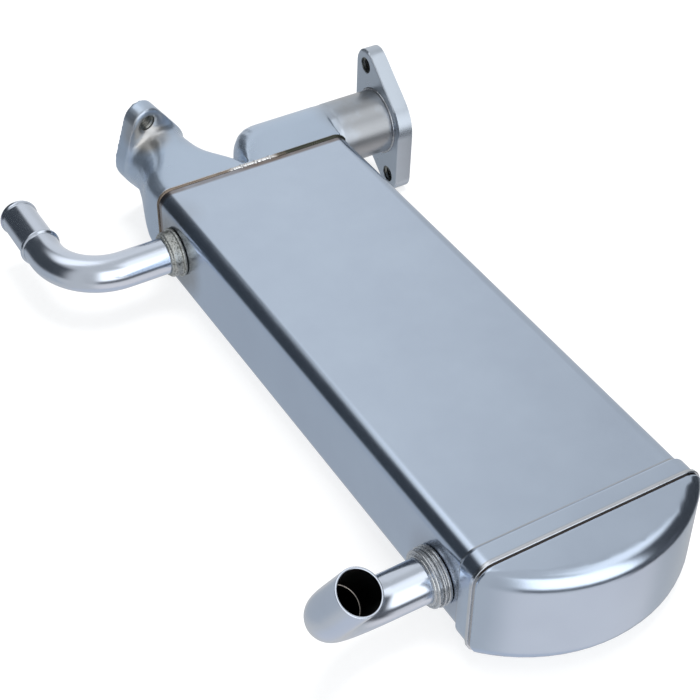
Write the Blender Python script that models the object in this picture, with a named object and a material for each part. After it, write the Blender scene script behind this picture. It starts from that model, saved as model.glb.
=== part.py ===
"""Exhaust-gas cooler with a flat-tube core, a return tank and a cast gas manifold.

Frame: metres, +Z up. The origin is the centre of the shell's underside. +Y runs along the
length towards the gas manifold, and the coolant pipes leave on the -X side.
Gas enters the inlet flange, runs down the left tubes, turns in the end cap and comes back
through the right tubes to the outlet flange.
"""

import math

import bmesh
import bpy
from mathutils import Vector

# Clearances
SEAT_GAP = 0.0003          # between pieces that seat on each other
TUBE_CLEARANCE = 0.0005    # between the tube stack and the walls of the manifold's mouth
CUT_OVERRUN = 0.002        # how far a cutter runs past the face that it opens
UNION_INSET = 0.0001       # keeps the faces of united forms out of one plane
MERGE_DISTANCE = 0.000003  # points of a cut piece that lie closer become one

# Shell: rectangular sheet case, expanded at the near end
SHELL_WIDTH = 0.100
SHELL_HEIGHT = 0.044
SHELL_LENGTH = 0.2588
SHELL_WALL = 0.0015
SHELL_CORNER = 0.0068      # outer radius of the long edges
FLARE_LENGTH = 0.0068
FLARE_STEP = 0.0013        # how far the flared end stands proud
FLARE_CORNER = 0.0078      # outer radius of the flared end's edges
FLARE_RAMP = 0.0012

# Header plates
NEAR_HEADER_THICKNESS = 0.0015
NEAR_HEADER_PROUD = 0.0009
FAR_HEADER_THICKNESS = 0.002
FAR_HEADER_INSET = 0.006   # from the shell's far end to the plate's outer face

# End cap: drawn tank, D-shaped in plan
CAP_WALL = 0.0015
CAP_RIM_LENGTH = 0.0016
CAP_DEPTH = 0.0226         # bulge beyond the rim
CAP_EDGE = 0.0075          # radius between its flat faces and its curved wall

# Gas tubes and fins
TUBE_ROWS = 5
TUBE_BRIDGE = 0.0021       # between the tubes of a column
TUBE_WALL = 0.0005
TUBE_PROUD = 0.0012        # beyond each header plate
FIN_THICKNESS = 0.0003
FIN_PITCH = 0.0058
FIN_LEAN = 0.0004          # half of each fin wall's sideways slope
FIN_SETBACK = 0.008        # from the tube's end to the fin's end

# Support plates
SUPPORT_THICKNESS = 0.001
SUPPORT_FRACTIONS = (0.36, 0.68)   # of the shell's length, from the near end
SUPPORT_WINDOW = 0.009     # coolant gap at one side of each plate

# Cast gas manifold
MANIFOLD_WALL = 0.0025
LIP_LENGTH = 0.0015        # rim that meets the weld, flush with the shell
LIP_SETBACK = 0.0002       # of the rim's edge below the shell's faces
DIVIDER_THICKNESS = 0.003
GAS_BORE = 0.026
NECK_WALL = 0.003
FUNNEL_SETBACK = 0.0006    # of the funnel's inner side from the outlet's passage
FUNNEL_PULL = 0.45         # bend of the inlet's centreline, as a share of its length
FUNNEL_WAIST = 0.62        # below 1 the inlet narrows early on its inner side
FUNNEL_FLANK = 1.6         # above 1 it narrows late on its outer side
CHAMBER_LEFT = -0.0033     # closed end of the outlet chamber, from the centre plane
CHAMBER_BLEND = 0.018      # length over which that end rounds up to the ridge
CHAMBER_ROOT = 0.8         # share of its radius that the ridge shrinks to inside the base
CHAMBER_START = 0.12       # share of its full size with which the closed end starts
RIDGE_FORWARD = 0.021      # from the shell's end to the outlet's axis
RIDGE_RAISE = 0.008        # of the outlet's axis above the shell's middle
INLET_REACH = 0.0465       # from the shell's end to the inlet flange's back face
INLET_INSET = 0.0197       # from the shell's left face to the middle of the inlet flange
INLET_RAISE = 0.0091
INLET_YAW = math.radians(11.1)     # the inlet flange turns outwards
INLET_RISE = math.radians(9.4)     # and tips upwards
INLET_ROLL = math.radians(-12.9)

# Two-hole flanges
FLANGE_THICKNESS = 0.0082
FLANGE_TIP_RADIUS = 0.0083
FLANGE_BOLT_HOLE = 0.0084
FLANGE_CHAMFER = 0.0008
INLET_BOLT_SPACING = 0.0473
INLET_HUB_MARGIN = 0.0020  # of the flange round the neck
OUTLET_BOLT_SPACING = 0.0562
OUTLET_HUB_MARGIN = 0.0047
OUTLET_ROLL = math.radians(-24.1)
OUTLET_STUB = 0.030        # from the shell's right face to the outlet flange's back face
STUB_RECESS = 0.0010       # the stub's end below the flange's face

# Coolant pipes and their bosses
PIPE_WALL = 0.0009
FAR_PIPE_DIAMETER = 0.0170
FAR_PIPE_INSET = 0.0170    # from the shell's far end
FAR_PIPE_RAISE = 0.0010    # of the axis above the shell's middle
FAR_PIPE_RUN = 0.0261
FAR_PIPE_BEND = 0.0270
FAR_PIPE_LEG = 0.0348
NEAR_PIPE_DIAMETER = 0.0181
NEAR_PIPE_INSET = 0.0232   # from the shell's near end
NEAR_PIPE_RAISE = -0.0034
NEAR_PIPE_RUN = 0.0217
NEAR_PIPE_BEND = 0.0322
NEAR_PIPE_ANGLE = math.radians(100.0)
NEAR_PIPE_LEAN = math.radians(29.8)    # from upright towards the end cap
NEAR_PIPE_LEG = 0.0177
PIPE_INSERTION = 0.0020    # of the pipe's end inside the shell
BEAD_HEIGHT = 0.0011
BEAD_LENGTH = 0.0034
TIP_BEAD_HEIGHT = 0.0006
HOSE_LENGTH = 0.0258       # from the shoulder bead to the pipe's end
BOSS_WALL = 0.0018
BOSS_LENGTH = 0.0058
BOSS_ROUND = 0.0009        # on the barrel's outer edge
BOSS_FOOT = 0.0011
BOSS_FOOT_LENGTH = 0.0014

# Weld between the shell's far end and the manifold's rim
WELD_WIDTH = 0.0014
WELD_CROWN = 0.0004        # of its middle above the shell's faces
WELD_EDGE = 0.0001         # of its sides below them

# Facets
CORNER_STEPS = 5
TUBE_CORNER_STEPS = 3
ROUND_STEPS = 28
PIPE_STEPS = 20
BOLT_STEPS = 16
LOFT_STEPS = 10
NECK_CORNER_STEPS = 6
RIDGE_STEPS = 14
BLEND_STEPS = 7
CAP_STEPS = 20
BEAD_STEPS = 5
EDGE_STEPS = 2
TIP_STEPS = 8
HUB_STEPS = 5
BEND_STEP = math.radians(10)
FULL_ROUND = 0.99          # keeps a short flat between the corners of a full round
SHARP_ANGLE = math.radians(32)

# Worked-out places
NEAR_END = -SHELL_LENGTH / 2
FAR_END = SHELL_LENGTH / 2
MID_HEIGHT = SHELL_HEIGHT / 2
CAVITY_WIDTH = SHELL_WIDTH - 2 * SHELL_WALL
CAVITY_HEIGHT = SHELL_HEIGHT - 2 * SHELL_WALL
SPIGOT_WIDTH = CAVITY_WIDTH - 2 * SEAT_GAP
SPIGOT_HEIGHT = CAVITY_HEIGHT - 2 * SEAT_GAP
SPIGOT_START = FAR_END - FAR_HEADER_INSET + SEAT_GAP
LIP_START = FAR_END + WELD_WIDTH + 2 * SEAT_GAP
LIP_ROOT = LIP_START + LIP_LENGTH / 4
LIP_MIDDLE = LIP_START + LIP_LENGTH / 2
LIP_END = LIP_START + LIP_LENGTH
LIP_WIDTH = SHELL_WIDTH - 2 * LIP_SETBACK
LIP_HEIGHT = SHELL_HEIGHT - 2 * LIP_SETBACK
MOUTH_WIDTH = (SPIGOT_WIDTH - DIVIDER_THICKNESS) / 2 - MANIFOLD_WALL
MOUTH_HEIGHT = SPIGOT_HEIGHT - 2 * MANIFOLD_WALL
MOUTH_CORNER = SHELL_CORNER - SHELL_WALL - SEAT_GAP - MANIFOLD_WALL
MOUTH_CENTRE = DIVIDER_THICKNESS / 2 + MOUTH_WIDTH / 2
GAS_NECK = GAS_BORE + 2 * NECK_WALL
TUBE_WIDTH = MOUTH_WIDTH - 2 * TUBE_CLEARANCE
TUBE_PITCH = (MOUTH_HEIGHT - 2 * TUBE_CLEARANCE + TUBE_BRIDGE) / TUBE_ROWS
TUBE_HEIGHT = TUBE_PITCH - TUBE_BRIDGE
NEAR_HEADER_FACE = NEAR_END - SEAT_GAP
CAP_RIM_FACE = NEAR_HEADER_FACE - NEAR_HEADER_THICKNESS - SEAT_GAP
RIDGE_Y = FAR_END + RIDGE_FORWARD
RIDGE_HEIGHT = MID_HEIGHT + RIDGE_RAISE
OUTLET_REACH = SHELL_WIDTH / 2 + OUTLET_STUB
TUBE_START = NEAR_HEADER_FACE - NEAR_HEADER_THICKNESS - TUBE_PROUD
TUBE_END = FAR_END - FAR_HEADER_INSET + TUBE_PROUD
ALONG_X = Vector((1, 0, 0))
ALONG_Y = Vector((0, 1, 0))
ALONG_Z = Vector((0, 0, 1))

STEEL_SATIN = ((0.60, 0.64, 0.70), 0.38)
STEEL_BRIGHT = ((0.72, 0.74, 0.78), 0.20)
STEEL_MACHINED = ((0.62, 0.61, 0.60), 0.30)
STEEL_TINTED = ((0.42, 0.35, 0.28), 0.45)


def clear_scene():
    """Remove whatever the scene holds."""
    for old in list(bpy.data.objects):
        bpy.data.objects.remove(old, do_unlink=True)


def steel(name, finish):
    """A metallic material with its own colour and roughness."""
    colour, roughness = finish
    material = bpy.data.materials.new(name)
    material.use_nodes = True
    shader = material.node_tree.nodes["Principled BSDF"]
    shader.inputs["Base Color"].default_value = (*colour, 1.0)
    shader.inputs["Metallic"].default_value = 1.0
    shader.inputs["Roughness"].default_value = roughness
    return material


def add_object(name, mesh_data, finish=None):
    """Put a finished bmesh into the scene under its own name."""
    mesh_data.normal_update()
    mesh = bpy.data.meshes.new(name)
    mesh_data.to_mesh(mesh)
    mesh_data.free()
    piece = bpy.data.objects.new(name, mesh)
    bpy.context.scene.collection.objects.link(piece)
    if finish is not None:
        mesh.materials.append(steel(name + "_steel", finish))
        mesh.shade_smooth()
        mesh.set_sharp_from_angle(angle=SHARP_ANGLE)
    return piece


def rounded_rectangle(width, height, radius, steps=CORNER_STEPS):
    """Corner-rounded rectangle about (0, 0), anticlockwise, as (across, up) pairs."""
    points = []
    corners = ((1, 1, 0), (-1, 1, 90), (-1, -1, 180), (1, -1, 270))
    for side_x, side_z, start in corners:
        centre_x = side_x * (width / 2 - radius)
        centre_z = side_z * (height / 2 - radius)
        for step in range(steps + 1):
            angle = math.radians(start + 90 * step / steps)
            points.append((centre_x + radius * math.cos(angle), centre_z + radius * math.sin(angle)))
    return points


def across(points, y, centre_x=0.0, centre_z=MID_HEIGHT):
    """Stand an (across, up) outline in the plane at this y."""
    return [Vector((centre_x + x, y, centre_z + z)) for x, z in points]


def add_loop(mesh_data, points):
    """Add one loop of vertices."""
    return [mesh_data.verts.new(point) for point in points]


def bridge(mesh_data, first, second):
    """Join two loops of equal count with quads."""
    count = len(first)
    for index in range(count):
        after = (index + 1) % count
        mesh_data.faces.new((first[index], first[after], second[after], second[index]))


def face_outwards(mesh_data):
    """Turn every face of a closed body outwards."""
    bmesh.ops.recalc_face_normals(mesh_data, faces=mesh_data.faces)


def lofted_solid(sections):
    """Closed solid through a list of loops, with flat ends."""
    mesh_data = bmesh.new()
    loops = [add_loop(mesh_data, section) for section in sections]
    for first, second in zip(loops, loops[1:]):
        bridge(mesh_data, first, second)
    mesh_data.faces.new(loops[0])
    mesh_data.faces.new(loops[-1])
    face_outwards(mesh_data)
    return mesh_data


def lofted_sleeve(outer, inner):
    """Open-ended wall between a list of outer loops and a list of inner loops."""
    mesh_data = bmesh.new()
    outer_loops = [add_loop(mesh_data, section) for section in outer]
    inner_loops = [add_loop(mesh_data, section) for section in inner]
    for first, second in zip(outer_loops, outer_loops[1:]):
        bridge(mesh_data, first, second)
    for first, second in zip(inner_loops, inner_loops[1:]):
        bridge(mesh_data, first, second)
    bridge(mesh_data, outer_loops[0], inner_loops[0])
    bridge(mesh_data, outer_loops[-1], inner_loops[-1])
    face_outwards(mesh_data)
    return mesh_data


def evaluated_bmesh(piece):
    """The piece's mesh with its modifiers applied."""
    depsgraph = bpy.context.evaluated_depsgraph_get()
    mesh_data = bmesh.new()
    mesh_data.from_object(piece, depsgraph)
    return mesh_data


def combine(target, tools, operation):
    """Apply a Boolean of each tool to the target, and remove the tools."""
    for tool in tools:
        modifier = target.modifiers.new(operation.lower(), "BOOLEAN")
        modifier.operation = operation
        modifier.object = tool
    result = evaluated_bmesh(target)
    target.modifiers.clear()
    bmesh.ops.remove_doubles(result, verts=result.verts, dist=MERGE_DISTANCE)
    result.to_mesh(target.data)
    result.free()
    for tool in tools:
        bpy.data.objects.remove(tool, do_unlink=True)
    return target


def finish_piece(piece, finish):
    """Give a combined piece its material and shading."""
    piece.data.materials.clear()
    piece.data.materials.append(steel(piece.name + "_steel", finish))
    piece.data.shade_smooth()
    piece.data.set_sharp_from_angle(angle=SHARP_ANGLE)
    return piece


def circle_points(centre, first_axis, second_axis, radius, steps=ROUND_STEPS):
    """Points round a circle in the plane of two axes."""
    points = []
    for step in range(steps):
        angle = 2 * math.pi * step / steps
        points.append(centre + radius * (math.cos(angle) * first_axis + math.sin(angle) * second_axis))
    return points


def plane_axes(normal, roll=0.0):
    """Two unit axes in the plane with this normal; the first points up and is then rolled."""
    upright = (ALONG_Z - normal * normal.z).normalized()
    sideways = normal.cross(upright)
    first = math.cos(roll) * upright + math.sin(roll) * sideways
    return first, normal.cross(first)


def cylinder(name, start, end, radius, steps=ROUND_STEPS):
    """Round bar between two points, as a tool or a body."""
    first, second = plane_axes((end - start).normalized())
    sections = [circle_points(point, first, second, radius, steps) for point in (start, end)]
    return add_object(name, lofted_solid(sections))


def bent_route(start, along, turn_to, run, bend, angle, leg):
    """Centreline as (point, direction) pairs: straight, one bend, straight."""
    route = [(start, along)]
    corner = start + along * run
    bend_steps = math.ceil(angle / BEND_STEP)
    for step in range(bend_steps + 1):
        turned = angle * step / bend_steps
        point = corner + bend * (math.sin(turned) * along + (1 - math.cos(turned)) * turn_to)
        route.append((point, math.cos(turned) * along + math.sin(turned) * turn_to))
    last_point, last_direction = route[-1]
    route.append((last_point + last_direction * leg, last_direction))
    return route


def bead_profile(length):
    """Steps (from the start of the bead, share of its height) across a half-round bead."""
    shares = [step / BEAD_STEPS for step in range(BEAD_STEPS + 1)]
    return [(length * share, math.sin(math.pi * share)) for share in shares]


def shell_outline(grow=0.0):
    """Outer outline of the shell, grown evenly."""
    return rounded_rectangle(SHELL_WIDTH + 2 * grow, SHELL_HEIGHT + 2 * grow, SHELL_CORNER + grow)


def flare_outline(grow=0.0):
    """Outer outline of the shell's flared end, grown evenly."""
    width = SHELL_WIDTH + 2 * (FLARE_STEP + grow)
    height = SHELL_HEIGHT + 2 * (FLARE_STEP + grow)
    return rounded_rectangle(width, height, FLARE_CORNER + grow)


def build_shell():
    """Rectangular case with its flared end and the two coolant holes."""
    stations = (
        (FAR_END, shell_outline),
        (NEAR_END + FLARE_LENGTH + FLARE_RAMP, shell_outline),
        (NEAR_END + FLARE_LENGTH, flare_outline),
        (NEAR_END, flare_outline),
    )
    outer = [across(outline(), y) for y, outline in stations]
    inner = [across(outline(-SHELL_WALL), y) for y, outline in stations]
    shell = add_object("shell", lofted_sleeve(outer, inner))
    cutters = []
    for place, diameter in coolant_ports():
        inside = place + Vector((CUT_OVERRUN + SHELL_WALL, 0, 0))
        outside = place - Vector((CUT_OVERRUN, 0, 0))
        cutters.append(cylinder("hole_cutter", inside, outside, diameter / 2 + SEAT_GAP))
    combine(shell, cutters, "DIFFERENCE")
    return finish_piece(shell, STEEL_SATIN)


def coolant_ports():
    """Where each coolant pipe's axis crosses the shell's left face, and its diameter."""
    left = -SHELL_WIDTH / 2
    far = Vector((left, FAR_END - FAR_PIPE_INSET, MID_HEIGHT + FAR_PIPE_RAISE))
    near = Vector((left, NEAR_END + NEAR_PIPE_INSET, MID_HEIGHT + NEAR_PIPE_RAISE))
    return ((far, FAR_PIPE_DIAMETER), (near, NEAR_PIPE_DIAMETER))


def tube_places():
    """Centre (x, z) of each gas tube, left column first, from the bottom up."""
    places = []
    for side in (-1, 1):
        for row in range(TUBE_ROWS):
            height = MID_HEIGHT + (row - (TUBE_ROWS - 1) / 2) * TUBE_PITCH
            places.append((side * MOUTH_CENTRE, height))
    return places


def tube_outline(inset=0.0):
    """Flat tube's outline, inset or grown evenly."""
    width = TUBE_WIDTH - 2 * inset
    height = TUBE_HEIGHT - 2 * inset
    return rounded_rectangle(width, height, height / 2 * FULL_ROUND, TUBE_CORNER_STEPS)


def tube_cutters(start, end):
    """Slot cutters, one for each gas tube, between two planes."""
    cutters = []
    for x, z in tube_places():
        sections = [across(tube_outline(-SEAT_GAP), y, x, z) for y in (start, end)]
        cutters.append(add_object("slot_cutter", lofted_solid(sections)))
    return cutters


def slotted_plate(name, outline, near_face, far_face):
    """Flat plate with a slot for each gas tube."""
    plate = add_object(name, lofted_solid([across(outline, near_face), across(outline, far_face)]))
    cutters = tube_cutters(near_face - CUT_OVERRUN, far_face + CUT_OVERRUN)
    combine(plate, cutters, "DIFFERENCE")
    return finish_piece(plate, STEEL_SATIN)


def build_headers():
    """Tube plates at both ends of the core."""
    near_outline = flare_outline(NEAR_HEADER_PROUD)
    slotted_plate("near_header", near_outline, NEAR_HEADER_FACE - NEAR_HEADER_THICKNESS, NEAR_HEADER_FACE)
    far_outline = shell_outline(-SHELL_WALL - SEAT_GAP)
    outer_face = FAR_END - FAR_HEADER_INSET
    slotted_plate("far_header", far_outline, outer_face - FAR_HEADER_THICKNESS, outer_face)


def build_supports():
    """Plates that hold the tubes apart, each open at the other side for the coolant."""
    outline = shell_outline(-SHELL_WALL - SEAT_GAP)
    for number, fraction in enumerate(SUPPORT_FRACTIONS, start=1):
        y = NEAR_END + fraction * SHELL_LENGTH
        plate = slotted_plate("support_plate_%d" % number, outline, y, y + SUPPORT_THICKNESS)
        side = 1 if number % 2 else -1
        edge = side * (CAVITY_WIDTH / 2)
        window = rounded_rectangle(2 * SUPPORT_WINDOW, CAVITY_HEIGHT + 2 * CUT_OVERRUN, SEAT_GAP, 1)
        stations = (y - CUT_OVERRUN, y + SUPPORT_THICKNESS + CUT_OVERRUN)
        cutter = add_object("window_cutter", lofted_solid([across(window, at, edge) for at in stations]))
        combine(plate, [cutter], "DIFFERENCE")
        finish_piece(plate, STEEL_SATIN)


def build_tubes():
    """Flat gas tubes through both header plates, each with its fin strip."""
    for number, (x, z) in enumerate(tube_places(), start=1):
        outer = [across(tube_outline(), y, x, z) for y in (TUBE_START, TUBE_END)]
        inner = [across(tube_outline(TUBE_WALL), y, x, z) for y in (TUBE_START, TUBE_END)]
        add_object("gas_tube_%02d" % number, lofted_sleeve(outer, inner), STEEL_SATIN)
        build_fin("fin_strip_%02d" % number, x, z)


def build_fin(name, centre_x, centre_z):
    """Corrugated strip: a square wave across the tube, run along its length."""
    reach = TUBE_WIDTH / 2 - TUBE_HEIGHT / 2
    crest = TUBE_HEIGHT / 2 - TUBE_WALL - SEAT_GAP - FIN_THICKNESS / 2
    waves = max(2, int(2 * reach / FIN_PITCH))
    spine = []
    for wave in range(waves):
        left = (wave - waves / 2) * FIN_PITCH
        spine.append((left + FIN_LEAN, crest))
        spine.append((left + FIN_PITCH / 2 - FIN_LEAN, crest))
        spine.append((left + FIN_PITCH / 2 + FIN_LEAN, -crest))
        spine.append((left + FIN_PITCH - FIN_LEAN, -crest))
    outline = thick_line(spine, FIN_THICKNESS)
    stations = (TUBE_START + FIN_SETBACK, TUBE_END - FIN_SETBACK)
    sections = [across(outline, y, centre_x, centre_z) for y in stations]
    add_object(name, lofted_solid(sections), STEEL_SATIN)


def thick_line(spine, thickness):
    """Closed outline of this thickness about an open line of (across, up) points."""
    points = [Vector(point) for point in spine]
    runs = [(after - before).normalized() for before, after in zip(points, points[1:])]
    upper = []
    lower = []
    for point, into, out in zip(points, runs[:1] + runs, runs + runs[-1:]):
        square_in = Vector((-into.y, into.x))
        square_out = Vector((-out.y, out.x))
        middle = (square_in + square_out).normalized()
        push = middle * (thickness / 2) / middle.dot(square_in)
        upper.append(tuple(point + push))
        lower.append(tuple(point - push))
    return upper + lower[::-1]


def cap_arc(inset, wall):
    """Plan of the cap's curved wall at one level, from left to right, as (x, y) pairs."""
    half = SHELL_WIDTH / 2 + FLARE_STEP - wall
    depth = CAP_DEPTH - wall
    radius = (half ** 2 + depth ** 2) / (2 * depth)
    centre_y = CAP_RIM_FACE - CAP_RIM_LENGTH - depth + radius
    end_x = half - inset
    end_y = CAP_RIM_FACE - CAP_RIM_LENGTH
    points = []
    reach = math.atan2(half, radius - depth)
    for step in range(CAP_STEPS + 1):
        angle = -reach + 2 * reach * step / CAP_STEPS
        x = (radius - inset) * math.sin(angle)
        y = centre_y - (radius - inset) * math.cos(angle)
        points.append((x, y))
    shift = end_y - points[0][1]
    stretch = end_x / abs(points[0][0])
    apex = points[CAP_STEPS // 2][1]
    result = []
    for x, y in points:
        share = (y - apex) / (points[0][1] - apex)
        result.append((x * stretch, y + shift * share))
    return result


def cap_surface(mesh_data, wall):
    """Skin of the cap: its rim, curved wall and flat faces. Gives the loop round its open back."""
    edge = CAP_EDGE - wall
    half_height = SHELL_HEIGHT / 2 + FLARE_STEP - wall
    levels = []
    for step in range(CORNER_STEPS + 1):
        angle = math.radians(90 * step / CORNER_STEPS)
        levels.append((half_height - edge + edge * math.sin(angle), edge - edge * math.cos(angle)))
    stack = [(-height, inset) for height, inset in reversed(levels)] + levels
    rows = []
    for height, inset in stack:
        arc = cap_arc(inset, wall)
        left_x, right_x = arc[0][0], arc[-1][0]
        row = [(left_x, CAP_RIM_FACE)] + arc + [(right_x, CAP_RIM_FACE)]
        rows.append([mesh_data.verts.new((x, y, MID_HEIGHT + height)) for x, y in row])
    for lower, upper in zip(rows, rows[1:]):
        for index in range(len(lower) - 1):
            mesh_data.faces.new((lower[index], lower[index + 1], upper[index + 1], upper[index]))
    mesh_data.faces.new(rows[0])
    mesh_data.faces.new(rows[-1])
    return [row[0] for row in rows] + [row[-1] for row in reversed(rows)]


def build_end_cap():
    """Drawn return tank: outer skin, inner skin and the rim face between them."""
    mesh_data = bmesh.new()
    outer_back = cap_surface(mesh_data, 0.0)
    inner_back = cap_surface(mesh_data, CAP_WALL)
    bridge(mesh_data, outer_back, inner_back)
    face_outwards(mesh_data)
    return add_object("end_cap", mesh_data, STEEL_SATIN)


def flange_outline(spacing, hub_radius):
    """Two-hole flange outline: hub and tip circles joined by tangents, as (along, across) pairs."""
    reach = spacing / 2
    touch = math.asin((hub_radius - FLANGE_TIP_RADIUS) / reach)
    points = []
    for end in (1, -1):
        for step in range(TIP_STEPS + 1):
            angle = (math.pi / 2 - touch) * (2 * step / TIP_STEPS - 1)
            along = reach + FLANGE_TIP_RADIUS * math.cos(angle)
            points.append((end * along, end * FLANGE_TIP_RADIUS * math.sin(angle)))
        for step in range(HUB_STEPS + 1):
            angle = math.pi / 2 - touch + 2 * touch * step / HUB_STEPS
            points.append((end * hub_radius * math.cos(angle), end * hub_radius * math.sin(angle)))
    return points


def flange_solid(name, centre, normal, roll, spacing, hub_radius):
    """Flange plate with its two bolt holes; centre lies on its back face."""
    first, second = plane_axes(normal, roll=roll)
    outline = flange_outline(spacing, hub_radius)
    layers = (
        (0.0, FLANGE_CHAMFER),
        (FLANGE_CHAMFER, 0.0),
        (FLANGE_THICKNESS, 0.0),
    )
    sections = []
    for depth, inset in layers:
        ring = []
        for along, aside in outline:
            shrink = 1 - inset / math.hypot(along, aside)
            ring.append(centre + normal * depth + (first * along + second * aside) * shrink)
        sections.append(ring)
    plate = add_object(name, lofted_solid(sections))
    holes = []
    for end in (1, -1):
        spot = centre + first * (end * spacing / 2)
        start = spot - normal * CUT_OVERRUN
        finish = spot + normal * (FLANGE_THICKNESS + CUT_OVERRUN)
        holes.append(cylinder("bolt_cutter", start, finish, FLANGE_BOLT_HOLE / 2, BOLT_STEPS))
    return plate, holes


def inlet_axis():
    """Outward normal of the inlet flange and the centre of its back face."""
    flat = math.cos(INLET_RISE)
    normal = Vector((-math.sin(INLET_YAW) * flat, math.cos(INLET_YAW) * flat, math.sin(INLET_RISE)))
    centre = Vector((INLET_INSET - SHELL_WIDTH / 2, FAR_END + INLET_REACH, MID_HEIGHT + INLET_RAISE))
    return normal, centre


def loop_at(centre, side, up, width, height, radius):
    """Rounded rectangle loop in the plane of two axes."""
    limit = min(width, height) / 2 * FULL_ROUND
    outline = rounded_rectangle(width, height, min(radius, limit), NECK_CORNER_STEPS)
    return [centre + side * a + up * b for a, b in outline]


def curve_point(start, start_pull, end_pull, end, share):
    """Point on a cubic Bezier curve."""
    rest = 1 - share
    return (start * rest ** 3 + start_pull * (3 * rest ** 2 * share)
            + end_pull * (3 * rest * share ** 2) + end * share ** 3)


def funnel_sections(centre_x, width, height, corner, neck, start_y, overrun):
    """Loops from the left half of the mouth to the round neck at the inlet flange."""
    normal, flange_centre = inlet_axis()
    first, second = plane_axes(normal)
    start = Vector((centre_x, start_y, MID_HEIGHT))
    begin = Vector((centre_x, LIP_MIDDLE, MID_HEIGHT))
    pull = (flange_centre - begin).length * FUNNEL_PULL
    begin_pull = begin + ALONG_Y * pull
    end_pull = flange_centre - normal * pull
    sections = [loop_at(start, ALONG_X, ALONG_Z, width, height, corner)]
    for step in range(LOFT_STEPS + 1):
        share = step / LOFT_STEPS
        ease = share * share * (3 - 2 * share)
        waist = ease ** FUNNEL_WAIST
        flank = ease ** FUNNEL_FLANK
        side = ALONG_X.lerp(second, ease).normalized()
        up = ALONG_Z.lerp(first, ease).normalized()
        wide = width + (neck - width) * waist
        tall = height + (neck - height) * ease
        radius = corner + (neck / 2 - corner) * ease
        inwards = (neck - width) / 2 * (waist - flank)
        point = curve_point(begin, begin_pull, end_pull, flange_centre, share) + side * inwards
        sections.append(loop_at(point, side, up, wide, tall, radius))
    end = flange_centre + normal * overrun
    sections.append(loop_at(end, second, first, neck, neck, neck / 2))
    return sections


def tangent_angle(point, centre, radius, side):
    """Angle of the touching point on a circle of the tangent from a point outside it."""
    away = point - centre
    towards = math.atan2(away.y, away.x)
    opening = math.acos(min(1.0, radius / away.length))
    return towards - side * opening


def chamber_section(x, fullness, half_height, near_y, full_radius):
    """Outline of the outlet chamber across the ridge: the mouth drawn out to a round ridge."""
    top = MID_HEIGHT + half_height
    bottom = MID_HEIGHT - half_height
    root_radius = full_radius * CHAMBER_ROOT
    hidden = Vector((LIP_MIDDLE - root_radius, RIDGE_HEIGHT))
    centre = hidden.lerp(Vector((RIDGE_Y, RIDGE_HEIGHT)), fullness)
    radius = root_radius + (full_radius - root_radius) * fullness
    upper = tangent_angle(Vector((LIP_MIDDLE, top)), centre, radius, 1)
    lower = tangent_angle(Vector((LIP_MIDDLE, bottom)), centre, radius, -1)
    points = [(near_y, bottom), (LIP_MIDDLE, bottom)]
    for step in range(RIDGE_STEPS + 1):
        angle = lower + (upper - lower) * step / RIDGE_STEPS
        points.append((centre.x + radius * math.cos(angle), centre.y + radius * math.sin(angle)))
    points += [(LIP_MIDDLE, top), (near_y, top)]
    return [Vector((x, y, z)) for y, z in points]


def chamber_sections(left, blend, right, half_height, near_y, full_radius):
    """Sections along X, from the rounded left end to the square right end."""
    sections = []
    for step in range(BLEND_STEPS + 1):
        angle = math.pi / 2 * step / BLEND_STEPS
        x = left + blend * (1 - math.cos(angle))
        fullness = max(math.sin(angle), CHAMBER_START)
        sections.append(chamber_section(x, fullness, half_height, near_y, full_radius))
    sections.append(chamber_section(right, 1.0, half_height, near_y, full_radius))
    return sections


def manifold_forms():
    """Solid forms that unite into the casting, without its inlet flange."""
    rim_half = LIP_WIDTH / 2 - UNION_INSET
    rim_height = LIP_HEIGHT - 2 * UNION_INSET
    inner_side = DIVIDER_THICKNESS / 2 - FUNNEL_SETBACK
    lip = lofted_solid([across(shell_outline(-LIP_SETBACK), y) for y in (LIP_START, LIP_END)])
    funnel = lofted_solid(funnel_sections(
        (inner_side - rim_half) / 2, rim_half + inner_side, rim_height,
        SHELL_CORNER, GAS_NECK, LIP_START + UNION_INSET, FLANGE_THICKNESS / 2))
    chamber = lofted_solid(chamber_sections(
        CHAMBER_LEFT, CHAMBER_BLEND, SPIGOT_WIDTH / 2, rim_height / 2,
        LIP_START + 2 * UNION_INSET, GAS_NECK / 2))
    stub_start = Vector((CHAMBER_LEFT + 2 * CHAMBER_BLEND, RIDGE_Y, RIDGE_HEIGHT))
    stub_end = Vector((OUTLET_REACH + FLANGE_THICKNESS - STUB_RECESS, RIDGE_Y, RIDGE_HEIGHT))
    return [
        add_object("lip_tool", lip),
        add_object("funnel_tool", funnel),
        add_object("chamber_tool", chamber),
        cylinder("stub_tool", stub_start, stub_end, GAS_NECK / 2 - UNION_INSET),
    ]


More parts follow.
